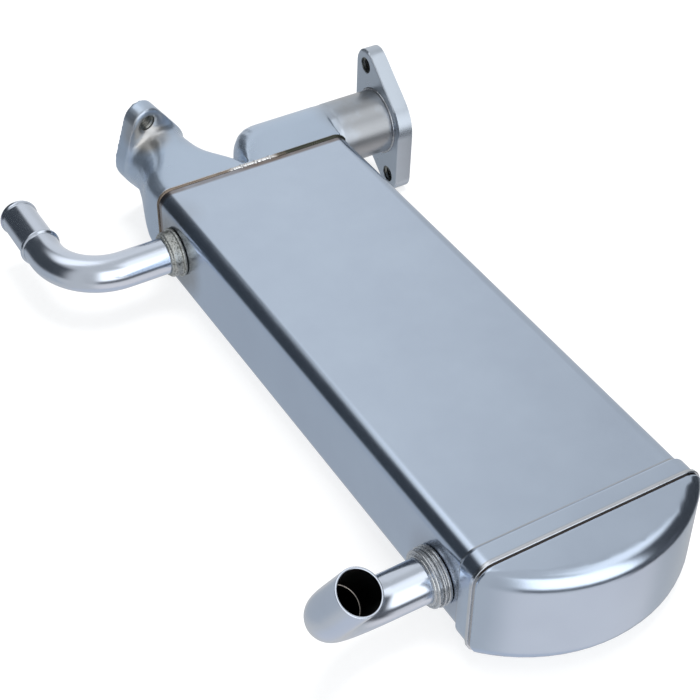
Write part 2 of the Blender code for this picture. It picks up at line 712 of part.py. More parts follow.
def manifold_passages():
    """Cutters for the gas ways: the inlet funnel's, the outlet chamber's and the stub's bore."""
    start_y = SPIGOT_START - CUT_OVERRUN
    gas_in = lofted_solid(funnel_sections(
        -MOUTH_CENTRE, MOUTH_WIDTH, MOUTH_HEIGHT, MOUTH_CORNER,
        GAS_BORE, start_y, FLANGE_THICKNESS + CUT_OVERRUN))
    gas_out = lofted_solid(chamber_sections(
        DIVIDER_THICKNESS / 2, CHAMBER_BLEND - MANIFOLD_WALL, SPIGOT_WIDTH / 2 - MANIFOLD_WALL,
        MOUTH_HEIGHT / 2, start_y, GAS_BORE / 2))
    bore_start = Vector((SHELL_WIDTH / 4, RIDGE_Y, RIDGE_HEIGHT))
    bore_end = Vector((OUTLET_REACH + FLANGE_THICKNESS + CUT_OVERRUN, RIDGE_Y, RIDGE_HEIGHT))
    return [
        add_object("gas_in_cutter", gas_in),
        add_object("gas_out_cutter", gas_out),
        cylinder("bore_cutter", bore_start, bore_end, GAS_BORE / 2 - UNION_INSET),
    ]


def build_manifold():
    """One casting: spigot, rim, inlet funnel with its flange, outlet chamber with its stub."""
    spigot = shell_outline(-SHELL_WALL - SEAT_GAP)
    manifold = add_object("gas_manifold", lofted_solid(
        [across(spigot, y) for y in (SPIGOT_START, LIP_ROOT)]))
    normal, centre = inlet_axis()
    plate, holes = flange_solid(
        "plate_tool", centre, normal, INLET_ROLL, INLET_BOLT_SPACING, GAS_NECK / 2 + INLET_HUB_MARGIN)
    combine(manifold, manifold_forms() + [plate], "UNION")
    combine(manifold, manifold_passages() + holes, "DIFFERENCE")
    return finish_piece(manifold, STEEL_SATIN)


def build_outlet_flange():
    """Separate plate welded on the outlet stub."""
    centre = Vector((OUTLET_REACH, RIDGE_Y, RIDGE_HEIGHT))
    plate, holes = flange_solid(
        "outlet_flange", centre, ALONG_X, OUTLET_ROLL, OUTLET_BOLT_SPACING,
        GAS_NECK / 2 + OUTLET_HUB_MARGIN)
    start = centre - ALONG_X * CUT_OVERRUN
    end = centre + ALONG_X * (FLANGE_THICKNESS + CUT_OVERRUN)
    bore = cylinder("bore_cutter", start, end, GAS_NECK / 2 + SEAT_GAP)
    combine(plate, holes + [bore], "DIFFERENCE")
    return finish_piece(plate, STEEL_MACHINED)


def pipe_from_route(name, route, side_axis, radii):
    """Hollow pipe along a route; each entry has its own outer radius."""
    outer = []
    inner = []
    for (point, direction), radius in zip(route, radii):
        other_axis = direction.cross(side_axis)
        outer.append(circle_points(point, side_axis, other_axis, radius, PIPE_STEPS))
        inner.append(circle_points(point, side_axis, other_axis, radius - PIPE_WALL, PIPE_STEPS))
    return add_object(name, lofted_sleeve(outer, inner), STEEL_BRIGHT)


def build_far_pipe():
    """Pipe that turns towards the manifold side, with a shoulder bead and a tip bead."""
    place, diameter = coolant_ports()[0]
    start = place + ALONG_X * (SHELL_WALL + PIPE_INSERTION)
    run = FAR_PIPE_RUN + SHELL_WALL + PIPE_INSERTION
    plain_leg = FAR_PIPE_LEG - HOSE_LENGTH - BEAD_LENGTH
    route = bent_route(start, -ALONG_X, ALONG_Y, run, FAR_PIPE_BEND, math.pi / 2, plain_leg)
    radii = [diameter / 2] * len(route)
    shoulder = route.pop()[0]
    radii.pop()
    tip = shoulder + ALONG_Y * HOSE_LENGTH
    for bead, height in ((shoulder, BEAD_HEIGHT), (tip, TIP_BEAD_HEIGHT)):
        for forward, share in bead_profile(BEAD_LENGTH):
            route.append((bead + ALONG_Y * forward, ALONG_Y))
            radii.append(diameter / 2 + height * share)
    return pipe_from_route("coolant_pipe_far", route, ALONG_Z, radii)


def build_near_pipe():
    """Plain elbow that turns up and towards the end cap."""
    place, diameter = coolant_ports()[1]
    turn = Vector((0, -math.sin(NEAR_PIPE_LEAN), math.cos(NEAR_PIPE_LEAN)))
    start = place + ALONG_X * (SHELL_WALL + PIPE_INSERTION)
    run = NEAR_PIPE_RUN + SHELL_WALL + PIPE_INSERTION
    route = bent_route(start, -ALONG_X, turn, run, NEAR_PIPE_BEND, NEAR_PIPE_ANGLE, NEAR_PIPE_LEG)
    radii = [diameter / 2] * len(route)
    return pipe_from_route("coolant_pipe_near", route, turn.cross(ALONG_X).normalized(), radii)


def boss_profile(bore):
    """Turned profile of a boss as (outwards, radius) pairs, from its seat."""
    barrel = bore + BOSS_WALL
    foot = barrel + BOSS_FOOT
    profile = [(0.0, bore), (0.0, foot), (BOSS_FOOT_LENGTH, foot), (BOSS_FOOT_LENGTH, barrel)]
    for step in range(EDGE_STEPS + 1):
        angle = math.pi / 2 * step / EDGE_STEPS
        outwards = BOSS_LENGTH - BOSS_ROUND * (1 - math.sin(angle))
        profile.append((outwards, barrel - BOSS_ROUND * (1 - math.cos(angle))))
    profile.append((BOSS_LENGTH, bore))
    return profile


def build_bosses():
    """Ring with a thin foot round each coolant pipe, seated on the shell's left face."""
    for name, (place, diameter) in zip(("coolant_boss_far", "coolant_boss_near"), coolant_ports()):
        seat = place - ALONG_X * SEAT_GAP
        loops = []
        mesh_data = bmesh.new()
        for outwards, radius in boss_profile(diameter / 2 + SEAT_GAP):
            ring = circle_points(seat - ALONG_X * outwards, ALONG_Y, ALONG_Z, radius)
            loops.append(add_loop(mesh_data, ring))
        for first, second in zip(loops, loops[1:] + loops[:1]):
            bridge(mesh_data, first, second)
        face_outwards(mesh_data)
        add_object(name, mesh_data, STEEL_MACHINED)


def build_seam_weld():
    """Bead of weld metal round the spigot, between the shell's end and the manifold's rim."""
    near_y = FAR_END + SEAT_GAP
    far_y = near_y + WELD_WIDTH
    rings = (
        (near_y, -SHELL_WALL),
        (near_y, -WELD_EDGE),
        ((near_y + far_y) / 2, WELD_CROWN),
        (far_y, -WELD_EDGE),
        (far_y, -SHELL_WALL),
    )
    mesh_data = bmesh.new()
    loops = [add_loop(mesh_data, across(shell_outline(grow), y)) for y, grow in rings]
    for first, second in zip(loops, loops[1:] + loops[:1]):
        bridge(mesh_data, first, second)
    face_outwards(mesh_data)
    add_object("seam_weld", mesh_data, STEEL_TINTED)


def build_cooler():
    """Build every piece of the cooler."""
    clear_scene()
    build_shell()
    build_headers()
    build_supports()
    build_tubes()
    build_end_cap()
    build_manifold()
    build_outlet_flange()
    build_far_pipe()
    build_near_pipe()
    build_bosses()
    build_seam_weld()


build_cooler()
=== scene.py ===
"""Looks of the exhaust-gas cooler: steel finishes, cast and welded surfaces, studio and camera.

The sizes are in metres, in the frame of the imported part: +Y runs along the case towards the gas
manifold, the coolant pipes are on the -X side and +Z points up.
"""

import logging
import math
from collections.abc import Callable, Sequence
from dataclasses import dataclass
from enum import Enum

import bmesh
import bpy
from mathutils import Euler, Matrix, Vector


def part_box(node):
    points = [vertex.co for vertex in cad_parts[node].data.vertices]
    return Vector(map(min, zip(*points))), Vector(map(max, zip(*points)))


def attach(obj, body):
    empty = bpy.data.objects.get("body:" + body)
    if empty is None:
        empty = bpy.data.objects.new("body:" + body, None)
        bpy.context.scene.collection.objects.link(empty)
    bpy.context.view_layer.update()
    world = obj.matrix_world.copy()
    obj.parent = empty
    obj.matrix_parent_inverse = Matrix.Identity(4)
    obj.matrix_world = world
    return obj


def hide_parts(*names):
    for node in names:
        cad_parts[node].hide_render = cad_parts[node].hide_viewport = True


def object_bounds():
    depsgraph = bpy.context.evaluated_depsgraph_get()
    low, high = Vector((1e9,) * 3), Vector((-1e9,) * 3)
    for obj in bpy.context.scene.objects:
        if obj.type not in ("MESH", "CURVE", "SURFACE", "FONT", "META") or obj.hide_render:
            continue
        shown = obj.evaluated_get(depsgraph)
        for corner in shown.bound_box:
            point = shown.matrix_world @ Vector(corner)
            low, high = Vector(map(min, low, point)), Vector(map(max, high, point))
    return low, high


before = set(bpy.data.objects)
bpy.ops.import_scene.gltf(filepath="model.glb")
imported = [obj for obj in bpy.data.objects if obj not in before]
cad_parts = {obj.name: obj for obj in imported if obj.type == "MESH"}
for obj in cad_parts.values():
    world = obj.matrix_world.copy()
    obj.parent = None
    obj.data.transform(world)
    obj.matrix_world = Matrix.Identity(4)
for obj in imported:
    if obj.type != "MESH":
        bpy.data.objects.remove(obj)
CAD_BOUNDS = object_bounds()

logging.basicConfig(level=logging.INFO, format="%(message)s")
LOG = logging.getLogger("cooler")

Material = bpy.types.Material
Piece = bpy.types.Object
Socket = bpy.types.NodeSocket
Tree = bpy.types.NodeTree
Triple = tuple[float, float, float]

BODY = "root"
MM = 0.001
MERGE = 0.01 * MM  # points that lie closer become one
SEAT_GAP = 0.3 * MM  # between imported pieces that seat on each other
STUB_RADIUS = 16.0 * MM  # outside of the outlet stub
GAS_BORE_RADIUS = 13.0 * MM
FLANGE_THICKNESS = 8.2 * MM
CASE_WALL = 1.5 * MM
CASE_CORNER = 6.8 * MM  # outer radius of the case's long edges
ALONG_X = Vector((1, 0, 0))
ALONG_Y = Vector((0, 1, 0))
ALONG_Z = Vector((0, 0, 1))
ACROSS_CASE = (0.0, 1.0, 0.0)
ONTO_X = (0, math.pi / 2, 0)  # rotation that brings +Z onto +X
CLOUD_SPAN = (0.3, 0.7)  # values of the cloud noise between which the roughness runs
CLOUD_MEAN = 0.5  # of the cloud noise
PIT_SPAN = (0.36, 0.50)  # values of the grain noise from a pit's bottom to its rim
PIT_SHARE = 0.85  # of the speckle's colour at a pit's bottom
MARK_CORE = 0.45  # share of a mark's radius, heat tint and painted shade alike, that has its full strength
BEAD_SIDES = 12  # of a ring's round section
FLAT_LEAD = 80  # of 100: how far the large faces lead the shading


class Slot(Enum):
    """Material slots of the record."""

    CASE = "case_steel"
    CORE = "core_steel"
    CAST = "cast_steel"
    MACHINED = "machined_steel"
    PIPE = "pipe_steel"
    BOSS = "boss_steel"
    WELD = "weld_metal"


def linear(hex_colour: str) -> tuple[float, float, float, float]:
    """Turn an sRGB hex colour into linear RGBA.

    Args:
        hex_colour: Colour as "#rrggbb".

    Returns:
        Red, green, blue and alpha for a Blender socket.
    """
    channels = []
    for start in (1, 3, 5):
        value = int(hex_colour[start:start + 2], 16) / 255
        channels.append(value / 12.92 if value <= 0.04045 else ((value + 0.055) / 1.055) ** 2.4)
    return (*channels, 1.0)


def add_node(tree: Tree, kind: str, settings: dict | None = None,
             links: dict | None = None) -> bpy.types.Node:
    """Add a node with its settings and incoming links.

    Args:
        tree: Node tree that gets the node.
        kind: Blender's type name of the node, without "ShaderNode".
        settings: Input values by socket name or number, and properties by name.
        links: Source sockets by the name or number of the input that they feed.

    Returns:
        The new node.
    """
    node = tree.nodes.new("ShaderNode" + kind)
    for key, value in (settings or {}).items():
        if isinstance(key, int) or key in node.inputs:
            node.inputs[key].default_value = value
        else:
            setattr(node, key, value)
    for key, source in (links or {}).items():
        tree.links.new(source, node.inputs[key])
    return node


def add_math(tree: Tree, operation: str, *inputs: Socket | float) -> Socket:
    """Add a maths node whose inputs are sockets or plain values, and give its result.

    Args:
        tree: Node tree that gets the node.
        operation: Blender's name of the operation.
        inputs: What the node works on, in its own order.

    Returns:
        The node's result.
    """
    values = {number: value for number, value in enumerate(inputs) if isinstance(value, float)}
    links = {number: value for number, value in enumerate(inputs) if not isinstance(value, float)}
    return add_node(tree, "Math", {"operation": operation, **values}, links).outputs[0]


def add_range(tree: Tree, value: Socket, before: tuple[float, float], after: tuple[float, float],
              curve: str = "LINEAR") -> Socket:
    """Map a value from one range into another and give the result.

    Args:
        tree: Node tree that gets the node.
        value: Value that is mapped.
        before: Its range.
        after: The range that it is mapped to.
        curve: Blender's name of the way between the ends.

    Returns:
        The mapped value.
    """
    return add_node(tree, "MapRange", {
        "interpolation_type": curve, "From Min": before[0], "From Max": before[1],
        "To Min": after[0], "To Max": after[1]}, {"Value": value}).outputs["Result"]


def add_layer(tree: Tree, share: Socket, under: Socket, colour: Sequence[float]) -> Socket:
    """Lay a colour over another by a share and give the mix."""
    return add_node(tree, "Mix", {"data_type": "RGBA", 7: colour},
                    {0: share, 6: under}).outputs[2]


@dataclass(frozen=True)
class TintAndShadeMark:
    """Patch of colour on a steel surface, heat tint in some places and painted shade in others:
    round, or a band where an axis is left out.
    """

    centre: Triple
    radius: float
    colour: str
    strength: float
    axes: Triple = (1.0, 1.0, 1.0)


@dataclass(frozen=True)
class SteelFinish:
    """Stainless steel: two tones in soft clouds, a fine grain and a range of roughness."""

    name: str
    light: str
    dark: str
    smooth: float
    rough: float
    cloud_mm: float
    grain_mm: float
    grain_depth_mm: float
    grain_stretch: Triple = (1.0, 1.0, 1.0)
    speckle: str | None = None
    marks: tuple[TintAndShadeMark, ...] = ()
    metallic: float = 1.0

    def build(self) -> Material:
        """Make the material.

        Returns:
            A metal with its clouds, marks and grain on Object coordinates.
        """
        material = bpy.data.materials.new(self.name)
        material.use_nodes = True
        tree = material.node_tree
        shader = tree.nodes["Principled BSDF"]
        shader.inputs["Metallic"].default_value = self.metallic
        place = add_node(tree, "TexCoord").outputs["Object"]
        clouds = add_node(tree, "TexNoise", {"Scale": 1 / (self.cloud_mm * MM), "Detail": 4.0,
                                             "Roughness": 0.55}, {"Vector": place}).outputs["Fac"]
        stretched = add_node(tree, "Mapping", {"Scale": self.grain_stretch},
                             {"Vector": place}).outputs["Vector"]
        grain = add_node(tree, "TexNoise", {"Scale": 1 / (self.grain_mm * MM), "Detail": 2.0,
                                            "Roughness": 0.6}, {"Vector": stretched}).outputs["Fac"]
        colour = add_node(tree, "Mix", {"data_type": "RGBA", 6: linear(self.dark),
                                        7: linear(self.light)}, {0: clouds}).outputs[2]
        if self.speckle:
            colour = self.add_speckle(tree, grain, colour)
        for mark in self.marks:
            colour = self.add_mark(tree, place, clouds, colour, mark)
        tree.links.new(colour, shader.inputs["Base Color"])
        spread = add_range(tree, clouds, CLOUD_SPAN, (self.smooth, self.rough))
        tree.links.new(spread, shader.inputs["Roughness"])
        bump = add_node(tree, "Bump", {"Strength": 1.0, "Distance": self.grain_depth_mm * MM},
                        {"Height": grain})
        tree.links.new(bump.outputs["Normal"], shader.inputs["Normal"])
        return material

    def add_speckle(self, tree: Tree, grain: Socket, colour: Socket) -> Socket:
        """Darken the pits of the grain, as on brazed and as-cast skin; on the bolt threads the
        specks are painted shade.
        """
        pits = add_range(tree, grain, PIT_SPAN, (PIT_SHARE, 0.0))
        return add_layer(tree, pits, colour, linear(self.speckle))

    def add_mark(self, tree: Tree, place: Socket, clouds: Socket, colour: Socket,
                 mark: TintAndShadeMark) -> Socket:
        """Blend a mark (heat tint, and painted shade where listed) over the colour, strongest at
        its middle and broken by the clouds.

        Args:
            tree: The material's node tree.
            place: Object coordinates.
            clouds: The finish's slow noise.
            colour: Colour under the mark.
            mark: Where the mark is, and its colour and strength.

        Returns:
            The colour with the mark.
        """
        away = add_node(tree, "VectorMath", {"operation": "SUBTRACT", 1: mark.centre}, {0: place})
        counted = add_node(tree, "VectorMath", {"operation": "MULTIPLY", 1: mark.axes},
                           {0: away.outputs[0]})
        offset = add_node(tree, "VectorMath", {"operation": "LENGTH"},
                          {0: counted.outputs[0]}).outputs["Value"]
        fade = add_range(tree, offset, (mark.radius * MARK_CORE, mark.radius),
                         (mark.strength / CLOUD_MEAN, 0.0), "SMOOTHSTEP")
        share = add_math(tree, "MULTIPLY", fade, clouds)
        return add_layer(tree, share, colour, linear(mark.colour))


def deselect() -> None:
    """Deselect every object."""
    bpy.ops.object.select_all(action="DESELECT")


def edit_all() -> None:
    """Enter edit mode with the whole mesh selected."""
    bpy.ops.object.mode_set(mode="EDIT")
    bpy.ops.mesh.select_all(action="SELECT")


def select_only(piece: Piece) -> None:
    """Make one object the active and only selected one.

    Args:
        piece: The object.
    """
    deselect()
    piece.select_set(True)
    bpy.context.view_layer.objects.active = piece


def apply_modifier(piece: Piece, kind: str, **settings: object) -> None:
    """Add a modifier with its settings and apply it.

    Args:
        piece: The object that is changed.
        kind: Blender's type name of the modifier.
        settings: The modifier's properties by name.
    """
    modifier = piece.modifiers.new(kind.lower(), kind)
    for key, value in settings.items():
        setattr(modifier, key, value)
    select_only(piece)
    bpy.ops.object.modifier_apply(modifier=modifier.name)


def add_object(name: str, data: bpy.types.ID) -> Piece:
    """Put a mesh, lamp or camera into the scene as a new object.

    Args:
        name: Name of the object.
        data: What it shows.

    Returns:
        The object.
    """
    added = bpy.data.objects.new(name, data)
    bpy.context.scene.collection.objects.link(added)
    return added


def merged_copy(node: str, name: str) -> Piece:
    """Copy a CAD node's mesh into a new piece with its loose triangles joined up.

    Args:
        node: The CAD node.
        name: Name of the piece.

    Returns:
        The piece, without a finish.
    """
    piece = add_object(name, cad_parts[node].data.copy())
    piece.data.materials.clear()
    select_only(piece)
    edit_all()
    bpy.ops.mesh.remove_doubles(threshold=MERGE)
    bpy.ops.mesh.tris_convert_to_quads()
    bpy.ops.object.mode_set(mode="OBJECT")
    return piece


def pick(piece: Piece, test: Callable[[Vector], bool]) -> None:
    """Select the vertices that pass a test on their place, in edit mode.

    Args:
        piece: The piece in edit mode.
        test: Says of a place whether its vertex is wanted.
    """
    bpy.ops.mesh.select_mode(type="VERT")
    bpy.ops.mesh.select_all(action="DESELECT")
    mesh = bmesh.from_edit_mesh(piece.data)
    for vertex in mesh.verts:
        vertex.select = test(vertex.co)
    mesh.select_flush_mode()
    bmesh.update_edit_mesh(piece.data)


def settle(piece: Piece) -> None:
    """Move an object's place and turn into its mesh."""
    select_only(piece)
    bpy.ops.object.transform_apply(location=True, rotation=True, scale=True)


def settle_new(name: str) -> Piece:
    """Name the object that was just added, settle it and give it back.

    Args:
        name: Name of the piece.

    Returns:
        The piece.
    """
    piece = bpy.context.object
    piece.name = name
    settle(piece)
    return piece


def start_tube(name: str, around: int, radius: float, place: Vector,
               turn: tuple | Euler) -> Piece:
    """Lay a tube's first ring, turned from +Z, and leave it selected in edit mode.

    Args:
        name: Name of the piece.
        around: How many points the ring has.
        radius: Its radius.
        place: Its middle.
        turn: Rotation that brings +Z onto the tube's axis.

    Returns:
        The piece, in edit mode.
    """
    deselect()
    bpy.ops.mesh.primitive_circle_add(
        vertices=around, radius=radius, fill_type="NOTHING", rotation=turn, location=place)
    piece = settle_new(name)
    edit_all()
    return piece


def extrude(step: Vector) -> None:
    """Extrude the selected ring by a step."""
    bpy.ops.mesh.extrude_region_move(TRANSFORM_OT_translate={"value": tuple(step)})


def finish_tube() -> None:
    """Join the rings that meet, turn the faces outwards and leave edit mode."""
    bpy.ops.mesh.select_all(action="SELECT")
    bpy.ops.mesh.remove_doubles(threshold=MERGE)
    bpy.ops.mesh.normals_make_consistent(inside=False)
    bpy.ops.object.mode_set(mode="OBJECT")


def add_ring(name: str, place: Vector, radius: float, bead: float, around: int,
             turn: tuple | Euler) -> Piece:
    """Lay a round ring of a bead, with its place and turn in its mesh.

    Args:
        name: Name of the piece.
        place: Middle of the ring.
        radius: From there to the bead's middle.
        bead: Radius of the bead itself.
        around: How many steps the ring has.
        turn: Rotation that brings +Z onto the ring's axis.

    Returns:
        The ring.
    """
    deselect()
    bpy.ops.mesh.primitive_torus_add(
        major_radius=radius, minor_radius=bead, major_segments=around, minor_segments=BEAD_SIDES,
        location=place, rotation=turn)
    return settle_new(name)


def shade(piece: Piece, angle: float = 35.0) -> None:
    """Smooth the shading up to an angle in degrees, led by the large flat faces.

    Args:
        piece: The finished mesh.
        angle: Steeper edges stay sharp.
    """
    select_only(piece)
    bpy.ops.object.shade_smooth_by_angle(angle=math.radians(angle))
    apply_modifier(piece, "WEIGHTED_NORMAL", keep_sharp=True, weight=FLAT_LEAD)


def soften_edges(piece: Piece, width: float, angle: float, segments: int = 2) -> None:
    """Round the sharp edges by a small width, as deburring does."""
    apply_modifier(piece, "BEVEL", width=width, segments=segments, limit_method="ANGLE",
                   angle_limit=math.radians(angle), harden_normals=False, use_clamp_overlap=True)


def smooth(piece: Piece) -> None:
    """Smooth the shading of the whole piece."""
    select_only(piece)
    bpy.ops.object.shade_smooth()


def enlist(piece: Piece, slot: Slot, material: Material | None, *nodes: str) -> None:
    """Dress a piece, fasten it to the part and hide the CAD nodes that it stands for.

    Args:
        piece: The finished piece.
        slot: The record's material slot; not used.
        material: Finish of the whole piece, or None where its faces already have theirs.
        nodes: CAD nodes that the piece replaces.
    """
    if material:
        piece.data.materials.clear()
        piece.data.materials.append(material)
    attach(piece, BODY)
    if nodes:
        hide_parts(*nodes)
    LOG.info("%s: %d faces", piece.name, len(piece.data.polygons))


def finish_packed(node: str, name: str, slot: Slot, material: Material, edge: float,
                  angle: float, segments: int = 2) -> None:
    """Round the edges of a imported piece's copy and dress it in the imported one's place.

    Args:
        node: The CAD node that it replaces.
        name: Name of the piece.
        slot: The record's material slot.
        material: Its finish.
        edge: Width of the rounding.
        angle: Edges under this many degrees stay as they are.
        segments: Steps of the rounding.
    """
    piece = merged_copy(node, name)
    soften_edges(piece, edge, angle, segments)
    shade(piece)
    enlist(piece, slot, material, node)


class Finishes:
    """Every finish of the cooler, made once."""

    def __init__(self) -> None:
        """Build the materials."""
        far_boss = (-0.050, 0.1124, 0.023)
        near_boss = (-0.050, -0.1062, 0.0186)
        # Bead-blasted sheet: even satin with soft clouds, greyer from heat where the bosses were
        # brazed, and in three bands at the ramp, the header plate and the far seam; the dark
        # far-seam band is heat tint darkened further as painted shade of the groove there.
        self.case = SteelFinish(
            "bead_blasted_stainless_sheet", "#CFDEF1", "#C1CFE3", 0.18, 0.23, 30.0, 0.75, 0.010,
            marks=(TintAndShadeMark(far_boss, 0.027, "#928F88", 0.60),
                   TintAndShadeMark(near_boss, 0.022, "#94949A", 0.45),
                   TintAndShadeMark((0, -0.1212, 0), 0.0011, "#A8A398", 0.55, ACROSS_CASE),
                   TintAndShadeMark((0, -0.1305, 0), 0.0020, "#C2BFBE", 0.70, ACROSS_CASE),
                   TintAndShadeMark((0, 0.1292, 0), 0.0034, "#857A74", 0.80, ACROSS_CASE)),
            metallic=0.98).build()
        # Investment casting, fine-blasted: duller than sheet, greyer from heat near both flanges.
        self.cast = SteelFinish(
            "fine_blasted_stainless_casting", "#C6D6E9", "#BBCBDF", 0.26, 0.34, 22.0, 0.8, 0.014,
            marks=(TintAndShadeMark((-0.0355, 0.1712, 0.0500), 0.0140, "#B0B0AF", 1.0),
                   TintAndShadeMark((0.070, 0.150, 0.030), 0.034, "#A6AAAF", 1.0)),
            metallic=0.86).build()
        # Weld round the stub, brushed clean: mid grey with fine lines.
        self.stub = SteelFinish(
            "turned_stainless_stub", "#B4B8BE", "#A0A4A9", 0.22, 0.30, 18.0, 0.7, 0.010,
            grain_stretch=(3.0, 1.0, 1.0), metallic=0.85).build()
        # Machined plate: even, cool grey.
        self.machined = SteelFinish(
            "milled_stainless_plate", "#C6D0DC", "#B5BFCA", 0.26, 0.34, 15.0, 0.7, 0.012,
            metallic=0.82).build()
        # Polished tube: smooth and bright, so that it mirrors the studio.
        self.tube = SteelFinish(
            "polished_stainless_tube", "#DFE8F6", "#D3DDEC", 0.155, 0.205, 20.0, 1.5, 0.0012,
            metallic=0.97).build()
        # Inside of a tube: dark grey.
        self.bore = SteelFinish(
            "dark_stainless_bore", "#55585E", "#3A3C40", 0.30, 0.45, 6.0, 0.6, 0.010).build()
        # Brazed ring: dull and grainy, greenish grey with bright and dark specks.
        self.braze = SteelFinish(
            "brazed_steel_ring", "#D2D5D4", "#9DA19E", 0.26, 0.42, 1.6, 0.8, 0.06,
            speckle="#63655F", metallic=0.82).build()
        # Sheared plate edge: bare and bright.
        self.sheared = SteelFinish(
            "sheared_stainless_edge", "#E6EBF2", "#CBD1D9", 0.18, 0.28, 9.0, 0.6, 0.012).build()
        # Braze in the grooves beside the plate: satin grey, with a dark band along the top that is
        # painted shade of the groove.
        self.filler = SteelFinish(
            "furnace_braze_filler", "#C4C8CE", "#AAADB2", 0.24, 0.36, 7.0, 0.6, 0.015,
            marks=(TintAndShadeMark((0, 0, 0.0460), 0.0050, "#3E3A38", 1.7, (0.0, 0.0, 1.0)),),
            metallic=0.96).build()
        # Turned ring: silver, with the bright lines of the tool.
        self.turned = SteelFinish(
            "turned_steel_ring", "#DDE1E6", "#B2B6BA", 0.20, 0.32, 3.0, 0.6, 0.012,
            metallic=0.85).build()
        # Weld metal: straw and brown from the heat, silver at the tack and olive grey past it,
        # darkened there as painted shade of the groove beside the thick bead.
        self.weld = SteelFinish(
            "heat_tinted_weld_metal", "#A3968A", "#6A5F56", 0.25, 0.40, 6.0, 0.5, 0.03,
            marks=(TintAndShadeMark((-0.0007, 0.1304, 0.044), 0.0140, "#F4F6F8", 1.5),
                   TintAndShadeMark((0.0330, 0.1304, 0.044), 0.0240, "#44463E", 1.8)),
            metallic=0.85).build()
        # Fused edge beside the bead: bare, bright and slightly straw.
        self.fused = SteelFinish(
            "fused_steel_edge", "#E6E1DA", "#BDB6AC", 0.22, 0.34, 4.0, 0.5, 0.02,
            metallic=0.80).build()
        # Thread of the bolt holes: dark grey with dark specks, painted shade inside the holes.
        self.thread = SteelFinish(
            "cut_steel_thread", "#A9ABA8", "#6E706C", 0.25, 0.40, 1.2, 0.4, 0.03,
            speckle="#3C3D3A").build()
        # Rolled strip of the core, in the dark inside the case.
        self.core = SteelFinish(
            "rolled_stainless_strip", "#A8A8A6", "#8C8C8A", 0.30, 0.45, 8.0, 0.6, 0.008).build()


